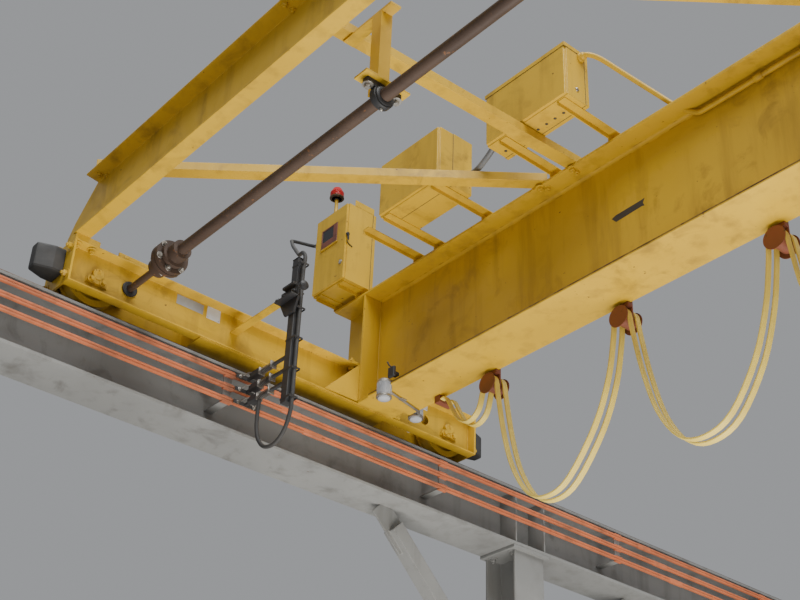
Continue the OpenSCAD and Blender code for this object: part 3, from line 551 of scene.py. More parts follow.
FESTOON = ([(446, -44), (480, -46), (528, -130), (590, -225), (668, -262), (744, -216)]
           + over_saddle(830)
           + [(891, -190), (935, -440), (1000, -660), (1110, -835), (1240, -885), (1380, -835),
              (1560, -620), (1660, -400), (1706, -190)]
           + over_saddle(1765)
           + [(1826, -190), (1872, -440), (1945, -690), (2060, -865), (2200, -910),
              (2350, -850), (2500, -640), (2588, -400), (2630, -190)]
           + over_saddle(2690)
           + [(2751, -190), (2790, -440), (2915, -730), (3130, -890), (3380, -880),
              (3650, -680), (3930, -440), (4120, -350), (4270, -338), (4303, -338)])
FLAT_W, FLAT_T = 0.036, 0.012
# Three cores under one jacket, so the flat faces have two shallow grooves
CABLE_SECTION = [(-0.5, 0.0), (-0.47, -0.3), (-0.38, -0.5), (-0.2, -0.5), (-0.16, -0.4),
                 (-0.12, -0.5), (0.12, -0.5), (0.16, -0.4), (0.2, -0.5), (0.38, -0.5),
                 (0.47, -0.3), (0.5, 0.0), (0.47, 0.3), (0.38, 0.5), (0.2, 0.5), (0.16, 0.4),
                 (0.12, 0.5), (-0.12, 0.5), (-0.16, 0.4), (-0.2, 0.5), (-0.38, 0.5),
                 (-0.47, 0.3)]
for key, y in (("a", COVER_EDGE - 0.026), ("b", COVER_EDGE + 0.034)):
    line = smooth([(x / 1000 - FACE_X, y, z / 1000 + GIRDER_LOW) for x, z in FESTOON], 4)
    p = Piece("festoon_cord_" + key, JACKET, 60)
    verts, faces, n = [], [], len(CABLE_SECTION)
    for i, q in enumerate(line):
        h = (line[min(i + 1, len(line) - 1)] - line[max(i - 1, 0)]).normalized()
        up = Vector((-h.z, 0, h.x))
        verts += [q + Vector((0, a * FLAT_W, 0)) + up * (b * FLAT_T) for a, b in CABLE_SECTION]
    for i in range(len(line) - 1):
        faces += [[i * n + j, i * n + (j + 1) % n, (i + 1) * n + (j + 1) % n, (i + 1) * n + j]
                  for j in range(n)]
    faces += [list(range(n)), [(len(line) - 1) * n + j for j in range(n)]]
    p.add(verts, faces)
    ob = p.done()
    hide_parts("festoon_cable_" + key)

COLLECTOR = [(-5818, -1516.5, 6641.7), (-5843, -1518.5, 6645.7), (-5875, -1536.5, 6659.7),
             (-5901, -1570.5, 6669.7), (-5910, -1612.5, 6665.7), (-5900.8, -1655.1, 6648.1),
             (-5869.2, -1690.0, 6616.3), (-5790.4, -1738.8, 6544.0), (-5681.2, -1809.7, 6441.5),
             (-5550.4, -1888.6, 6318.3), (-5400.4, -1972.2, 6178.4), (-5260.4, -2048.7, 6047.6),
             (-5140, -2116.3, 5941.5), (-5050.6, -2155.7, 5893.4), (-4999.4, -2173.6, 5829.8),
             (-4996, -2180, 5756.7), (-4998, -2180, 5682.7), (-4998, -2180, 5562.7),
             (-4998, -2180, 5402.7), (-4998, -2180, 5202.7), (-4998, -2180, 4990.7),
             (-5002, -2180, 4900), (-5042, -2180, 4806), (-5116, -2180, 4758),
             (-5205, -2180, 4772), (-5268, -2180, 4836), (-5294, -2180, 4920),
             (-5298, -2180, 5000), (-5292, -2180, 5072)]
line = smooth([(x / 1000, y / 1000, z / 1000) for x, y, z in COLLECTOR], 6)
p = Piece("collector_cord", RUBBER, 60)
p.tube(line, 0.0109, 14)
ob = p.done()
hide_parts("collector_cable")

# Girder: root fillets, cover plate welds, seat bolts and the bar mark

def along(x, y, z, sy, sz):
    """Places an outline (across, up) at a point, to be drawn along the span."""
    return lambda a, b, c: Vector((x + c, y + sy * a, z + sz * b))


fillets = Piece("girder_fillets", YELLOW, 60)
R = 0.019
FILLET = [(0, 0), (R, 0), (0.58 * R, 0.1 * R), (0.3 * R, 0.3 * R), (0.1 * R, 0.58 * R), (0, R)]
FILLET_END = 5.44
for sy in (-1, 1):
    for z, sz in ((GIRDER_LOW + FLANGE, 1), (GIRDER_TOP - FLANGE, -1)):
        fillets.prism(FILLET, along(-FILLET_END, GIRDER_Y + sy * WEB, z, sy, sz), 2 * FILLET_END)
fillets.done()

welds = Piece("girder_welds", YELLOW, 60)
# Thin dark strips in the corner where the flange meets the cover plate and on the cover plate's
# edge: a painted shadow line, with some rust in it
seam = Piece("cover_plate_shadow_line", SEAM_SHADOW_AND_RUST, 60)
SEAM_END = 5.34
for sy in (-1, 1):
    y = GIRDER_Y + sy * FLANGE_HALF
    seam.box((-SEAM_END, y, GIRDER_LOW), (SEAM_END, y + sy * 0.0022, GIRDER_LOW + 0.0022), 0.0004)
    edge = GIRDER_Y + sy * COVER_HALF
    seam.box((-SEAM_END, edge, GIRDER_LOW - 0.0085),
             (SEAM_END, edge + sy * 0.0006, GIRDER_LOW - 0.0002), 0.0002)
    x = -5.33
    while x < 5.3:
        bead(welds, (x, y, GIRDER_LOW), (x + 0.075, y, GIRDER_LOW), 0.0055, 0.012)
        x += 0.305
    for side in (-1, 1):
        x = side * 5.456
        bead(welds, (x - side * 0.002, GIRDER_Y + sy * WEB, GIRDER_LOW + 0.03),
             (x - side * 0.002, GIRDER_Y + sy * WEB, GIRDER_TOP - 0.03), 0.005)
welds.done()
seam.done()

mark = Piece("bar_mark", STENCIL_AND_SHADE, 60)
mark.prism([(-3.628, 5.803), (-3.600, 5.771), (-3.431, 5.779), (-3.414, 5.774), (-3.424, 5.797),
            (-3.410, 5.819), (-3.434, 5.817), (-3.600, 5.812)],
           lambda a, b, c: Vector((a, GIRDER_Y - WEB - c, b)), 0.0004)
mark.done()

# Trucks: keepers, end plates, seats, plates and welds
TRUCK_FACE = 0.076
bolts = Piece("truck_bolts", YELLOW, 30)
plates = Piece("blank_plates", PLATE, 30)
truck_welds = Piece("truck_welds", YELLOW, 60)
fittings = Piece("truck_fittings", YELLOW)
for side in (-1, 1):
    sx, inn = side * RAIL_X, -side
    for y in AXLE_YS:
        for dy in (-0.034, 0.034):
            bolts.bolt((sx + inn * 0.090, y + dy, AXLE_Z - 0.040), (inn, 0, 0), 0.024)
        fittings.turned([(0.0325, 0), (0.030, 0.0018), (0.009, 0.0018), (0.007, -0.002)],
                        (sx + inn * 0.0938, y, AXLE_Z), (inn, 0, 0), 40)
        fittings.turned([(0.006, 0), (0.006, 0.006), (0.004, 0.009), (0.0045, 0.013), (0, 0.015)],
                        (sx + inn * 0.094, y, AXLE_Z + 0.016), (inn, 0, 0), 12)
    for e in (-1, 1):
        y = BRIDGE_Y + e * TRUCK_HALF
        for dx in (-0.105, 0.105):
            for dz in (-0.085, 0.085):
                bolts.bolt((sx + dx, y, AXLE_Z + dz), (0, e, 0), 0.030, stud=0.012)
        for s in (-1, 1):
            bead(truck_welds, (sx + s * 0.077, y - e * 0.013, AXLE_Z - 0.115),
                 (sx + s * 0.077, y - e * 0.013, AXLE_Z + 0.115), 0.004, 0.012)
            for z in (-0.127, 0.127):
                bead(truck_welds, (sx + s * 0.078, y - e * 0.013, AXLE_Z + z * 0.96),
                     (sx + s * 0.134, y - e * 0.013, AXLE_Z + z * 0.96), 0.0035, 0.012)
    for dx in (-0.103, 0.103):
        for dy in (-0.155, 0.155):
            bolts.bolt((sx + dx, GIRDER_Y + dy, SEAT_Z), UP, 0.032, stud=0.014)
            bolts.bolt((sx + dx, GIRDER_Y + dy, TRUCK_TOP - 0.012), UNDER, 0.032)
        for y in (-3.232, -3.145):
            bolts.bolt((sx + dx, y, TRUCK_TOP - 0.012), UNDER, 0.028, stud=0.010)
        bolts.bolt((sx + dx, -3.232, CHORD_Z + 0.013), UP, 0.028)
    for y in (-2.46, -1.86, -1.16):
        for s in (-1, 1):
            bead(truck_welds, (sx + s * 0.0705, y + 0.006, AXLE_Z - 0.118),
                 (sx + s * 0.0705, y + 0.006, AXLE_Z + 0.118), 0.0035, 0.014)
labels = Piece("blank_labels", PALE, 30)
for part, y0, y1, z0, z1 in ((plates, -2.606, -2.436, 5.597, 5.656),
                             (labels, -2.412, -2.326, 5.588, 5.672),
                             (labels, -0.868, -0.808, 5.618, 5.668)):
    x = -RAIL_X + TRUCK_FACE
    part.box((x, y0, z0), (x + 0.0015, y1, z1), 0.0005)
    for y in (y0 + 0.008, y1 - 0.008):
        for z in (z0 + 0.008, z1 - 0.008):
            plates.turned([(0.0035, 0), (0.003, 0.0015), (0, 0.0022)], (x + 0.0015, y, z),
                          SPAN, 10)
fittings.box((-5.512, -3.000, TRUCK_TOP), (-5.500, -2.810, TRUCK_TOP + 0.038), 0.002)
fittings.turned([(0.014, 0), (0.014, 0.002), (0.009, 0.003)], (-5.5, -2.955, TRUCK_TOP + 0.021),
                SPAN, 20)
bolts.done()
plates.done()
labels.done()
truck_welds.done()
fittings.done()

# Truss: two bolts through each end of each lacing angle
UPV = Vector((0, -math.sin(TILT), math.cos(TILT)))


def on_truss(x, y, z):
    """A point of the truss's tilted plane: along the span, across from the chord, above it."""
    return (Vector((x, TRUSS_EDGE, CHORD_TOP)) + Vector((0, math.cos(TILT), math.sin(TILT))) * y
            + UPV * z)


lace = Piece("truss_bolts", YELLOW, 30)


def lace_bolt(x, y):
    lace.bolt(on_truss(x, y, 0.009), UPV, 0.027)
    lace.bolt(on_truss(x, y, -0.012 if y < 0.5 else -0.017), -UPV, 0.027, stud=0.010)


for i, x in enumerate((0.0, -1.95, -3.778)):
    for s in ((1,) if i == 0 else (1, -1)):
        for y in (0.022, 0.066, TRUSS_W + 0.014, TRUSS_W + 0.046):
            lace_bolt(s * x, y)
# A diagonal's slope across the truss, and its length for each metre across
K = 1.454 / TRUSS_W
L = math.hypot(K, 1)
LEG_MID = 0.038
for i in (1, 2, 3):
    x0 = -i * TRUSS_BAY - 0.030
    for s in (1, -1):
        for y in (0.044, 0.074, TRUSS_W + 0.010, TRUSS_W + 0.040):
            yc = y + LEG_MID * K / L
            lace_bolt(s * (x0 + K * yc + LEG_MID / L), y)
lace.done()

# Line shaft: hanger bolts, coupling bolts and keys
hang = Piece("bearing_bolts", ZINC, 30)
for x in BEARING_XS:
    for dy in (-0.079, 0.079):
        hang.bolt((x, SHAFT_Y + dy, AXLE_Z + 0.030), UNDER, 0.026)
        hang.bolt((x, SHAFT_Y + dy, AXLE_Z + 0.072), UP, 0.026, stud=0.014)
    hang.turned([(0.007, 0), (0.007, 0.008), (0.0045, 0.011), (0.005, 0.015), (0, 0.017)],
                (x, SHAFT_Y, AXLE_Z - 0.0555), UNDER, 12)
hang.done()
caps = Piece("bearing_caps", BLACK)
for x in BEARING_XS:
    for s in (-1, 1):
        caps.turned([(0.047, 0), (0.047, 0.006), (0.042, 0.009), (0.0315, 0.009), (0.0315, 0)],
                    (x + s * 0.0165, SHAFT_Y, AXLE_Z), (s, 0, 0), 40)
caps.done()
turning = Piece("coupling_bolts", GEAR, 30, body="cross_shaft")
for side in (-1, 1):
    x0 = side * 5.274
    for k in range(6):
        a = math.pi * k / 3 + 0.3
        y, z = SHAFT_Y + 0.0755 * math.cos(a), AXLE_Z + 0.0755 * math.sin(a)
        turning.bolt((x0 - side * 0.092, y, z), (side, 0, 0), 0.019)
        turning.bolt((x0 - side * 0.148, y, z), (-side, 0, 0), 0.019, stud=0.006)
    for a, b, r in ((-0.012, 0.03, 0.019), (0.21, 0.252, 0.030)):
        turning.box((x0 - side * a, SHAFT_Y - 0.005, AXLE_Z + r - 0.003),
                    (x0 - side * b, SHAFT_Y + 0.005, AXLE_Z + r + 0.004), 0.001)
turning.done()

# Runway: anchor nuts, cap bolts, stiffeners and rail clips
anchors = Piece("anchor_nuts", ZINC, 30, body="runway")
cap_bolts = Piece("cap_bolts", GREY, 30, body="runway")
stiff = Piece("beam_stiffeners", GREY, body="runway")
clips = Piece("rail_clips", RAIL, body="runway")
for side in (-1, 1):
    sx = side * RAIL_X
    for y in COLUMN_YS:
        for dx in (-0.18, 0.18):
            for dy in (-0.18, 0.18):
                anchors.box((sx + dx - 0.032, y + dy - 0.032, 0.025),
                            (sx + dx + 0.032, y + dy + 0.032, 0.033), 0.001)
                anchors.bolt((sx + dx, y + dy, 0.033), UP, 0.036, False, 0.045)
        for dx in (-0.085, 0.085):
            for dy in (-0.10, 0.10):
                cap_bolts.bolt((sx + dx, y + dy, BEAM_LOW - 0.020), UNDER, 0.030, stud=0.012)
                cap_bolts.bolt((sx + dx, y + dy, BEAM_LOW + 0.020), UP, 0.030)
            for t in (-0.127, 0.117):
                stiff.box((sx + math.copysign(0.006, dx), y + t, BEAM_LOW + 0.020),
                          (sx + math.copysign(0.142, dx), y + t + 0.010, BEAM_TOP - 0.020), 0.001)
    y = -6.0
    while y < 6.05:
        for s in (-1, 1):
            x = sx + s * 0.0445
            clips.box((x - s * 0.012, y - 0.022, BEAM_TOP + 0.0055),
                      (x + s * 0.040, y + 0.022, BEAM_TOP + 0.016), 0.002)
            clips.box((x + s * 0.001, y - 0.022, BEAM_TOP),
                      (x + s * 0.040, y + 0.022, BEAM_TOP + 0.006), 0.001)
            clips.bolt((x + s * 0.022, y, BEAM_TOP + 0.016), UP, 0.022, True, 0.006)
        y += 0.61
anchors.done()
cap_bolts.done()
stiff.done()
clips.done()

# Conductor bars: clamps on the hangers and joint covers
clamps = Piece("bar_clamps", BAR_COVER, body="runway")
for y in HANGER_YS:
    for z in BAR_Z:
        for s in (-1, 1):
            clamps.box((-5.457, y - 0.030, z + s * 0.0132), (-5.4325, y + 0.030, z + s * 0.0185),
                       0.0015)
for y in (-5.081, -2.031, 1.019, 4.069):
    for i, z in enumerate(BAR_Z):
        o = y + 0.154 * i
        clamps.box((-5.4497, o - 0.065, z - 0.0165), (-5.4318, o + 0.065, z + 0.0165), 0.003)
clamps.done()
hb = Piece("hanger_bolts", ZINC, 30, body="runway")
for y in HANGER_YS:
    for z in (5.205, 5.129):
        hb.bolt((-5.457, y, z), (-1, 0, 0), 0.013)
hb.done()

# Collector: clamp, straps, shoe springs and leads
STRAPS = (5.78, 5.50, 5.32, 5.14, 4.975)
post = Piece("collector_fittings", BLACK)
mx, my = MAST
post.box((mx - 0.085, my - 0.082, 5.552), (mx + 0.072, my - 0.0305, 5.5600), 0.002)
post.box((mx - 0.085, my - 0.040, 5.552), (mx + 0.072, my - 0.0310, 5.628), 0.003)
post.box((mx - 0.052, my - 0.060, 5.628), (mx + 0.048, my - 0.028, 5.646), 0.003)
post.prism([(-0.085, 5.552), (0.072, 5.552), (0.040, 5.470), (-0.040, 5.470)],
           lambda a, b, c: Vector((mx + a, my - 0.0400 + c, b)), 0.0125)
for side, r in ((-1, 0.017), (1, 0.026)):
    post.disc((mx + side * 0.070, my - 0.0355, 5.596), (side, 0, 0), 0.008, 0.040, 14)
    post.turned([(r * 0.6, 0), (r, 0.006), (r, 0.022), (r * 0.6, 0.030), (0, 0.031)],
                (mx + side * 0.098, my - 0.0355, 5.596), (side, 0, 0), 16)
for dx in (-0.042, 0.042):
    post.bolt((mx + dx, my - 0.0400, 5.589), (0, -1, 0), 0.018, stud=0.01)
    post.bolt((mx + dx * 0.8, my - 0.010, 5.6187), UP, 0.014)
post.box((mx - 0.027, my - 0.027, 5.8215), (mx + 0.027, my + 0.027, 5.826), 0.001)
for z in STRAPS:
    for lo, hi in (((mx - 0.0265, my - 0.0265), (mx + 0.0545, my - 0.025)),
                   ((mx - 0.0265, my + 0.025), (mx + 0.0545, my + 0.0265)),
                   ((mx - 0.0265, my - 0.0265), (mx - 0.025, my + 0.0265)),
                   ((mx + 0.0532, my - 0.0265), (mx + 0.0547, my + 0.0265))):
        post.box((lo[0], lo[1], z - 0.006), (hi[0], hi[1], z + 0.006), 0.0004)
post.done()
springs = Piece("shoe_springs", GEAR, 60)
wear = Piece("shoe_faces", COPPER)
for z in BAR_Z:
    # Nine turns of twelve steps each
    pts = []
    for i in range(109):
        a = 2 * math.pi * i / 12
        pts.append((-5.292 + 0.095 * i / 108, my + 0.0165 * math.cos(a), z + 0.0165 * math.sin(a)))
    springs.tube(pts, 0.0019, 6)
    for x in (-5.297, -5.194):
        springs.box((x - 0.003, my - 0.021, z - 0.021), (x + 0.003, my + 0.021, z + 0.021), 0.001)
    for dy in (-0.05, 0.05):
        springs.bolt((-5.4167, my + dy, z), SPAN, 0.011, stud=0.004)
    for dy in (-0.045, 0.045):
        springs.tube([(-5.40, my + dy, z), (-5.375, my + dy * 0.75, z + 0.010),
                      (-5.345, my + dy * 0.3, z + 0.012)], 0.004, 8)
    wear.box((-5.4305, my - 0.0753, z - 0.0094), (-5.4250, my + 0.0753, z + 0.0094), 0.001)
springs.done()
wear.done()

# Electrical boxes

def enclosure(tag, x, w, y_back, depth, h, seam_y, latch=None, top_lip=False):
    """A cover's lip with a dark strip of painted gap shadow before it, and a latch on the front.
    """
    p = Piece(tag + "_lip", YELLOW)
    q = Piece(tag + "_seam", STENCIL_AND_SHADE)
    top, front = BOX_Z + h, y_back - depth
    for s, edge in ((-1, x), (1, x + w)):
        p.box((edge - s * 0.0005, seam_y, BOX_Z + 0.001),
              (edge + s * 0.0025, y_back - 0.001, top), 0.0008)
        q.box((edge - s * 0.0005, seam_y - 0.0035, BOX_Z + 0.003),
              (edge + s * 0.0007, seam_y, top - 0.003), 0.0002)
    q.box((x + 0.003, seam_y - 0.0035, BOX_Z - 0.0007), (x + w - 0.003, seam_y, BOX_Z + 0.0005),
          0.0002)
    if top_lip:
        p.box((x - 0.002, front - 0.0025, top - 0.024), (x + w + 0.002, front + 0.0005, top),
              0.0008)
        p.box((x + w - 0.0005, front, top - 0.024), (x + w + 0.0025, seam_y, top), 0.0008)
        q.box((x + 0.003, front - 0.0007, top - 0.028),
              (x + w - 0.003, front + 0.0005, top - 0.024), 0.0002)
        q.box((x + w - 0.0005, front + 0.003, top - 0.028),
              (x + w + 0.0007, seam_y, top - 0.024), 0.0002)
    p.done()
    q.done()
    if latch:
        lx, lz = latch
        q = Piece(tag + "_latch", ZINC, 30)
        q.turned([(0.015, 0), (0.015, 0.003), (0.011, 0.006), (0.006, 0.006), (0.006, 0.009),
                  (0, 0.009)], (lx, front, lz), (0, -1, 0), 24)
        q.box((lx - 0.003, front - 0.0095, lz - 0.012), (lx + 0.003, front - 0.0085, lz + 0.012),
              0.0003)
        q.done()


enclosure("switch_box", -5.79, 0.310, -1.3325, 0.228, 0.560, -1.3545, latch=(-5.516, 6.346))
enclosure("control_box", -4.868, 0.495, -1.5485, 0.250, 0.360, -1.6875)
enclosure("resistor_box", -4.011, 0.570, -1.6205, 0.170, 0.340, -1.6425, top_lip=True)

p = Piece("switch_box_side", BLACK)
p.turned([(0.012, 0), (0.012, 0.010), (0.009, 0.013), (0, 0.013)], (-5.480, -1.549, 6.538),
         SPAN, 20)
p.box((-5.470, -1.5545, 6.490), (-5.465, -1.5435, 6.545), 0.0015)
p.tube([(-5.4775, -1.553, 6.488), (-5.4770, -1.540, 6.474), (-5.4775, -1.507, 6.462)], 0.003, 8)
p.done()
p = Piece("box_lift_angle", YELLOW)
p.box((-5.530, -1.500, BOX_Z + 0.5600), (-5.480, -1.350, BOX_Z + 0.5645), 0.001)
p.box((-5.4845, -1.500, BOX_Z + 0.5645), (-5.4800, -1.350, BOX_Z + 0.6080), 0.001)
p.done()
# The window has wide bands right and below, and a ledge under them
p = Piece("box_window", GLASS, 30)
p.box((-5.714, -1.5635, 6.574), (-5.604, -1.5600, 6.664), 0.0008)
p.done()
p = Piece("box_window_frame", FRAME_RED, 30)
for lo, hi in (((-5.722, 6.531), (-5.568, 6.575)), ((-5.722, 6.662), (-5.568, 6.671)),
               ((-5.722, 6.575), (-5.713, 6.662)), ((-5.605, 6.575), (-5.568, 6.662))):
    p.box((lo[0], -1.5660, lo[1]), (hi[0], -1.5600, hi[1]), 0.001)
p.done()
p = Piece("box_window_ledge", YELLOW, 30)
p.box((-5.728, -1.5690, 6.519), (-5.562, -1.5600, 6.5275), 0.0015)
p.done()

# Dark discs on the resistor box's underside: painted shade inside its holes
p = Piece("resistor_box_hole_shade", STENCIL_AND_SHADE, 30)
for k in range(9):
    p.turned([(0.0085, 0), (0.0085, 0.0006), (0, 0.0006)],
             (-3.966 + 0.471 * k / 8, -1.6855, BOX_Z - 0.0002), UNDER, 20)
p.done()
p = Piece("box_screws", ZINC, 30)
p.turned([(0.012, 0), (0.011, 0.004), (0.006, 0.007), (0, 0.007)], (-3.441, -1.706, 6.285),
         SPAN, 20)
p.done()

# Lamp on the switch box: rings on its lens, its base and lock nuts on its stem
p = Piece("lamp_lens", LENS_RED, 50)
rings = [(0.0405, 0.0005), (0.0424, 0.0010)]
for k in range(8):
    rings += [(0.0436, 0.0020 + 0.004 * k), (0.0436, 0.0044 + 0.004 * k),
              (0.0426, 0.0050 + 0.004 * k)]
rings += [(0.0420, 0.0345), (0.0285, 0.0634), (0.0275, 0.0630)]
p.turned(rings, LAMP, UP, 40)
p.done()
p = Piece("lamp_base", SHAFT, 30)
p.turned([(0.0325, 0.0), (0.0345, 0.002), (0.0345, 0.011), (0.0325, 0.0135)],
         (LAMP[0], LAMP[1], LAMP[2] - 0.014), UP, 36)
for r, z in ((0.019, BOX_Z + 0.560), (0.017, LAMP[2] - 0.025)):
    p.turned([(r, 0.0), (r, 0.009), (r - 0.003, 0.011)], (LAMP[0], LAMP[1], z), UP, 6)
p.turned([(0.034, 0.0), (0.0465, 0.0), (0.0465, 0.003), (0.034, 0.003)],
         (LAMP[0], LAMP[1], LAMP[2] - 0.009), UP, 36)
p.done()

# Conduits
flex = smooth([(-4.352, -1.625, 6.300), (-4.320, -1.628, 6.292), (-4.255, -1.645, 6.262),
               (-4.180, -1.668, 6.245), (-4.105, -1.688, 6.252), (-4.050, -1.698, 6.272),
               (-4.030, -1.700, 6.276)], 10)
p = Piece("flexible_conduit", FLEX, 60)
p.tube(flex, [0.0150 + 0.0016 * (i % 2) for i in range(len(flex))], 16)
p.done()
glands = Piece("conduit_glands", ZINC)
for at, d in (((-4.373, -1.625, 6.300), (1, 0, -0.1)), ((-4.011, -1.700, 6.276), (-1, 0, 0))):
    glands.turned([(0.024, 0), (0.024, 0.012), (0.019, 0.014), (0.019, 0.022), (0.0155, 0.027)],
                  at, d, 8)
glands.turned([(0.021, -0.002), (0.021, 0.010), (0.017, 0.013), (0.0120, 0.030)],
              (-5.816, -1.5165, 6.6417), (-1, 0, 0.02), 8)
glands.done()

rigid = smooth([(-3.441, -1.672, 6.515), (-3.400, -1.670, 6.513), (-3.350, -1.630, 6.480),
                (-3.290, -1.540, 6.405), (-3.200, -1.420, 6.290), (-3.120, -1.335, 6.190),
                (-3.040, -1.299, 6.125), (-2.960, -1.2965, 6.112), (-2.600, -1.2965, 6.112),
                (-2.000, -1.2965, 6.112), (-1.200, -1.2965, 6.112), (-0.400, -1.2965, 6.112),
                (-0.160, -1.2975, 6.112), (-0.075, -1.315, 6.103), (-0.024, -1.370, 6.096),
                (-0.018, -1.480, 6.112), (-0.018, -1.620, 6.143), (-0.018, -2.200, 6.119),
                (-0.018, -2.640, 6.100), (0.000, -2.740, 6.085), (0.070, -2.805, 6.040),
                (0.160, -2.865, 5.975), (0.205, -2.8880, 5.915), (0.215, -2.8895, 5.846)], 6)
p = Piece("rigid_conduit", YELLOW, 60)
p.tube(rigid, 0.0135, 14)
p.turned([(0.026, 0), (0.026, 0.014), (0.021, 0.016), (0.021, 0.030), (0.0165, 0.034)],
         (-3.441, -1.672, 6.515), SPAN, 8)
for x in (-2.70, -1.30, -0.45):
    p.turned([(0.0145, 0), (0.0185, 0.004), (0.0185, 0.046), (0.0145, 0.05)], (x, -1.2965, 6.112),
             SPAN, 20)
for x in (-2.35, -1.75, -0.85, -0.28):
    for y0, y1, z0, z1 in ((0.0445, WEB, 6.094, 6.0975), (0.0425, 0.0395, 6.0955, 6.1285),
                           (0.0425, WEB, 6.1265, 6.1295)):
        p.box((x - 0.010, GIRDER_Y - y0, z0), (x + 0.010, GIRDER_Y - y1, z1), 0.0008)
p.done()

# Two lamps on a rod below the girder's near end, and a switch beside them
p = Piece("lamp_rod", ZINC)
p.tube([(-5.178, -1.470, 5.392), (-5.262, -1.120, 5.392), (-5.285, -1.096, 5.400),
        (-5.345, -1.072, 5.474)], 0.008, 12)
p.box((-5.240, -1.290, 5.392), (-5.212, -1.250, 5.4018), 0.0008)
LAMPS = ((-5.184, -1.440, 5.404), (-5.345, -1.068, 5.472))
for x, y, z in LAMPS:
    p.turned([(0.012, 0.040), (0.030, 0.034), (0.0425, 0.024), (0.0425, 0.010)], (x, y, z),
             UP, 32)
    p.turned([(0.0405, -0.066), (0.0445, -0.068), (0.0445, -0.078), (0.0385, -0.080)], (x, y, z),
             UP, 32)
p.done()
p = Piece("lamp_bowls", RIBBED, 40)
for x, y, z in LAMPS:
    p.turned([(0.0400, 0.012), (0.0400, -0.070)], (x, y, z), UP, 32)
    p.turned([(0.0370, -0.078), (0.0340, -0.087), (0.0220, -0.093), (0.0, -0.095)], (x, y, z),
             UP, 32)
    for k in range(24):
        p.box((x + 0.0390, y - 0.0022, z - 0.067), (x + 0.0428, y + 0.0022, z + 0.011), 0.0008,
              Matrix.Rotation(2 * math.pi * k / 24, 3, "Z"), (x, y, z))
p.done()
p = Piece("end_switch", BLACK_PLASTIC)
p.box((-5.150, -1.450, 5.434), (-5.098, -1.4305, 5.498), 0.004)
p.box((-5.142, -1.4305, 5.450), (-5.106, -1.400, 5.470), 0.002)
p.tube([(-5.124, -1.441, 5.495), (-5.150, -1.442, 5.520), (-5.163, -1.443, 5.545)], 0.0045, 10)
p.done()

# Festoon trolleys: nuts and a strap over each cable
p = Piece("trolley_nuts", ZINC, 30)
q = Piece("cable_straps", RED_BROWN, 30)
for xr in SADDLE_XS:
    x = xr - FACE_X
    for dx in (-0.026, 0.026):
        p.bolt((x + dx, COVER_EDGE + 0.011, GIRDER_LOW + 0.015), TRAVEL, 0.014, stud=0.005)
    p.bolt((x, COVER_EDGE + 0.060, GIRDER_LOW - 0.100), TRAVEL, 0.018)
    for y in (COVER_EDGE - 0.026, COVER_EDGE + 0.034):
        q.box((x - 0.012, y - 0.0215, GIRDER_LOW - 0.0478),
              (x + 0.012, y + 0.0215, GIRDER_LOW - 0.0450), 0.0008)
        for s in (-1, 1):
            q.box((x - 0.012, y + s * 0.0195, GIRDER_LOW - 0.075),
                  (x + 0.012, y + s * 0.0215, GIRDER_LOW - 0.0455), 0.0005)
p.done()
q.done()

# Hoist: drum rope, motor ribs, covers and bolts
HOIST_X = -0.7
DRUM_Z = GIRDER_LOW - COVER_T - 0.260
HOIST_SIDE = 0.1855


def at_drum(x, y=0.0, z=0.0):
    return HOIST_X + x, GIRDER_Y + y, DRUM_Z + z


def ring(radius, n, start=0.0):
    """Places (across, up) of n things on a circle."""
    angles = [2 * math.pi * (k + start) / n for k in range(n)]
    return [(radius * math.cos(a), radius * math.sin(a)) for a in angles]


def ribs(piece, n, start, lo, hi, centre):
    """Ribs of a motor, each a thin box turned about the motor's axis."""
    for k in range(n):
        piece.box(lo, hi, 0.0008, Matrix.Rotation(2 * math.pi * (k + start) / n, 3, "X"), centre)


p = Piece("drum_rope", ROPE, 60)
prof = [(0.1045, -0.190)]
for k in range(27):
    z = -0.186 + 0.0138 * k
    # The middle of the drum stays bare
    if abs(z + 0.0069) < 0.03:
        continue
    for a in (-1, -0.5, 0, 0.5, 1):
        prof.append((0.1055 + 0.0062 * math.cos(a * 1.45), z + 0.0067 * a))
prof.append((0.1045, 0.192))
p.turned(prof, at_drum(0), SPAN, 56)
p.done()
p = Piece("hoist_motor_ribs", GREY)
ribs(p, 30, 0, at_drum(-0.396, -0.002, 0.117), at_drum(-0.238, 0.002, 0.131),
     (0, GIRDER_Y, DRUM_Z))
p.turned([(0.122, 0), (0.127, 0.004), (0.127, 0.030), (0.119, 0.036)], at_drum(-0.430), SPAN, 48)
p.turned([(0.075, 0), (0.072, 0.003), (0.02, 0.003)], at_drum(-0.430), (-1, 0, 0), 40)
p.turned([(0.098, 0), (0.098, 0.012), (0.086, 0.020)], at_drum(0.226), SPAN, 40)
p.turned([(0.093, 0), (0.093, 0.014), (0.080, 0.020), (0, 0.020)], at_drum(0.470), SPAN, 40)
for sy in (-1, 1):
    for dx in (-0.285, 0.285):
        for dz in (-0.10, 0.0, 0.25):
            p.bolt(at_drum(dx, sy * HOIST_SIDE, dz), (0, sy, 0), 0.022, stud=0.006)
    for dx in (-0.21, 0.21):
        p.turned([(0.032, 0), (0.032, 0.006), (0.028, 0.009), (0, 0.009)],
                 (HOIST_X + dx, GIRDER_Y + sy * HOIST_SIDE, GIRDER_LOW + 0.087), (0, sy, 0), 28)
for dy, dz in ring(0.066, 6):
    p.bolt(at_drum(0.490, dy, dz), SPAN, 0.014)
p.done()

BLOCK_Z = DRUM_Z - 0.9
BLOCK_SIDE = 0.100


def at_block(x, y, z):
    return HOIST_X + x, GIRDER_Y + y, BLOCK_Z + z


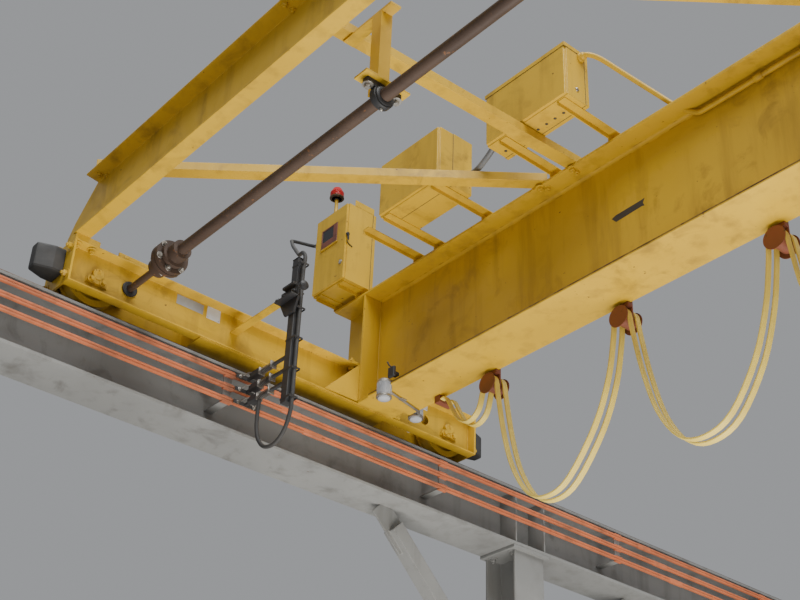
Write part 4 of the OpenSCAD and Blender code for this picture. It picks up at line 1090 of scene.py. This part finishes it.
p = Piece("hook_block_fittings", BLACK)
for sy in (-1, 1):
    p.turned([(0.034, 0), (0.034, 0.007), (0.028, 0.012), (0, 0.012)],
             at_block(0, sy * BLOCK_SIDE, -0.09), (0, sy, 0), 28)
    for dx in (-0.066, 0.066):
        for dz in (-0.030, -0.205):
            p.bolt(at_block(dx, sy * BLOCK_SIDE, dz), (0, sy, 0), 0.020, stud=0.005)
p.turned([(0.030, 0), (0.034, 0.004), (0.034, 0.018), (0.026, 0.022)], at_block(0, 0, -0.2405),
         UNDER, 28)
p.done()
p = Piece("block_stripes", BLACK)
for sy in (-1, 1):
    for k in range(4):
        a, b = -0.089 + 0.046 * k, -0.140
        p.prism([(a, b - 0.022), (a + 0.018, b - 0.022), (a + 0.040, b + 0.022),
                 (a + 0.022, b + 0.022)],
                lambda u, v, c, sy=sy: Vector(at_block(u, sy * (BLOCK_SIDE + c), v)), 0.0005)
p.done()

# Drive unit: motor ribs, fan cover, terminal box, reducer bolts
MOTOR_Z = AXLE_Z + 0.150


def at_motor(x, y=0.0, z=0.0):
    return x, SHAFT_Y + y, MOTOR_Z + z


p = Piece("drive_motor_ribs", GREY)
ribs(p, 28, 0.5, at_motor(0.122, -0.002, 0.092), at_motor(0.335, 0.002, 0.107), at_motor(0))
p.turned([(0.096, 0), (0.101, 0.005), (0.101, 0.040), (0.094, 0.050)], at_motor(0.345), SPAN, 48)
p.turned([(0.064, 0), (0.062, 0.003), (0.02, 0.003)], at_motor(0.400), SPAN, 36)
p.box(at_motor(0.160, -0.052, 0.088), at_motor(0.270, 0.052, 0.142), 0.004)
p.box(at_motor(0.156, -0.056, 0.1405), at_motor(0.274, 0.056, 0.150), 0.002)
for dy, dz in ring(0.099, 8, 0.5):
    p.bolt(at_motor(0.110, dy, dz), SPAN, 0.014)
for dy in (-0.10, 0.11):
    for dz, sides in ((-0.10, (-1, 1)), (0.05, (-1,)), (0.19, (-1,))):
        for s in sides:
            p.bolt((s * 0.090, SHAFT_Y + dy, AXLE_Z + dz), (s, 0, 0), 0.018)
for s in (-1, 1):
    p.turned([(0.060, 0), (0.060, 0.010), (0.052, 0.014), (0.0315, 0.014), (0.0315, 0)],
             (s * 0.0895, SHAFT_Y, AXLE_Z), (s, 0, 0), 40)
for dz in (-0.06, 0.0, 0.06, 0.12):
    p.box((-0.078, SHAFT_Y - 0.126, AXLE_Z + dz - 0.004),
          (0.078, SHAFT_Y - 0.1195, AXLE_Z + dz + 0.004), 0.001)
p.done()

# Rail stops: welds along their plates and ribs
p = Piece("stop_welds", YELLOW, 60, body="runway")
for side in (-1, 1):
    for e in (-1, 1):
        x, y = side * RAIL_X, e * 6.204
        bead(p, (x - 0.021, y, 5.4005), (x + 0.021, y, 5.4005), 0.004, 0.01)
        for s in (-1, 1):
            bead(p, (x + s * 0.006, e * 6.221, 5.405), (x + s * 0.006, e * 6.221, 5.565), 0.004,
                 0.012)
p.done()

# Floor and light

FLOOR = 240
nodes = Nodes("pale_floor")
nodes.done(nodes.mix(nodes.ramp(nodes.noise(0.5, 2.0), 0.3, 0.7), rgb(0.60, 0.59, 0.57),
                     rgb(0.58, 0.57, 0.55)), 0.8)
me = bpy.data.meshes.new("floor")
me.from_pydata([(-FLOOR, -FLOOR, 0), (FLOOR, -FLOOR, 0), (FLOOR, FLOOR, 0), (-FLOOR, FLOOR, 0)],
               [], [[0, 1, 2, 3]])
me.materials.append(nodes.mat)
ground = bpy.data.objects.new("floor", me)
bpy.context.scene.collection.objects.link(ground)
ground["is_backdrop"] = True

world = bpy.data.worlds.new("studio")
bpy.context.scene.world = world
world.use_nodes = True
world.node_tree.nodes["Background"].inputs["Color"].default_value = (0.80, 0.82, 0.85, 1.0)
world.node_tree.nodes["Background"].inputs["Strength"].default_value = 0.42


def area(name, at, aim, size, watts, color=(1.0, 0.97, 0.92)):
    lamp = bpy.data.lights.new(name, "AREA")
    lamp.shape = "SQUARE"
    lamp.size = size
    lamp.energy = watts
    lamp.color = color
    ob = bpy.data.objects.new(name, lamp)
    ob.location = at
    d = Vector(aim) - Vector(at)
    ob.rotation_euler = d.to_track_quat("-Z", "Y").to_euler()
    bpy.context.scene.collection.objects.link(ob)


area("low_key", (-2.4, -1.2, 0.35), (-2.4, -1.2, 6.0), 4.5, 520)
area("top_soft", (3.0, -5.0, 17.0), (0.0, -1.0, 3.0), 12.0, 4000, (0.97, 0.99, 1.0))

lo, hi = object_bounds()
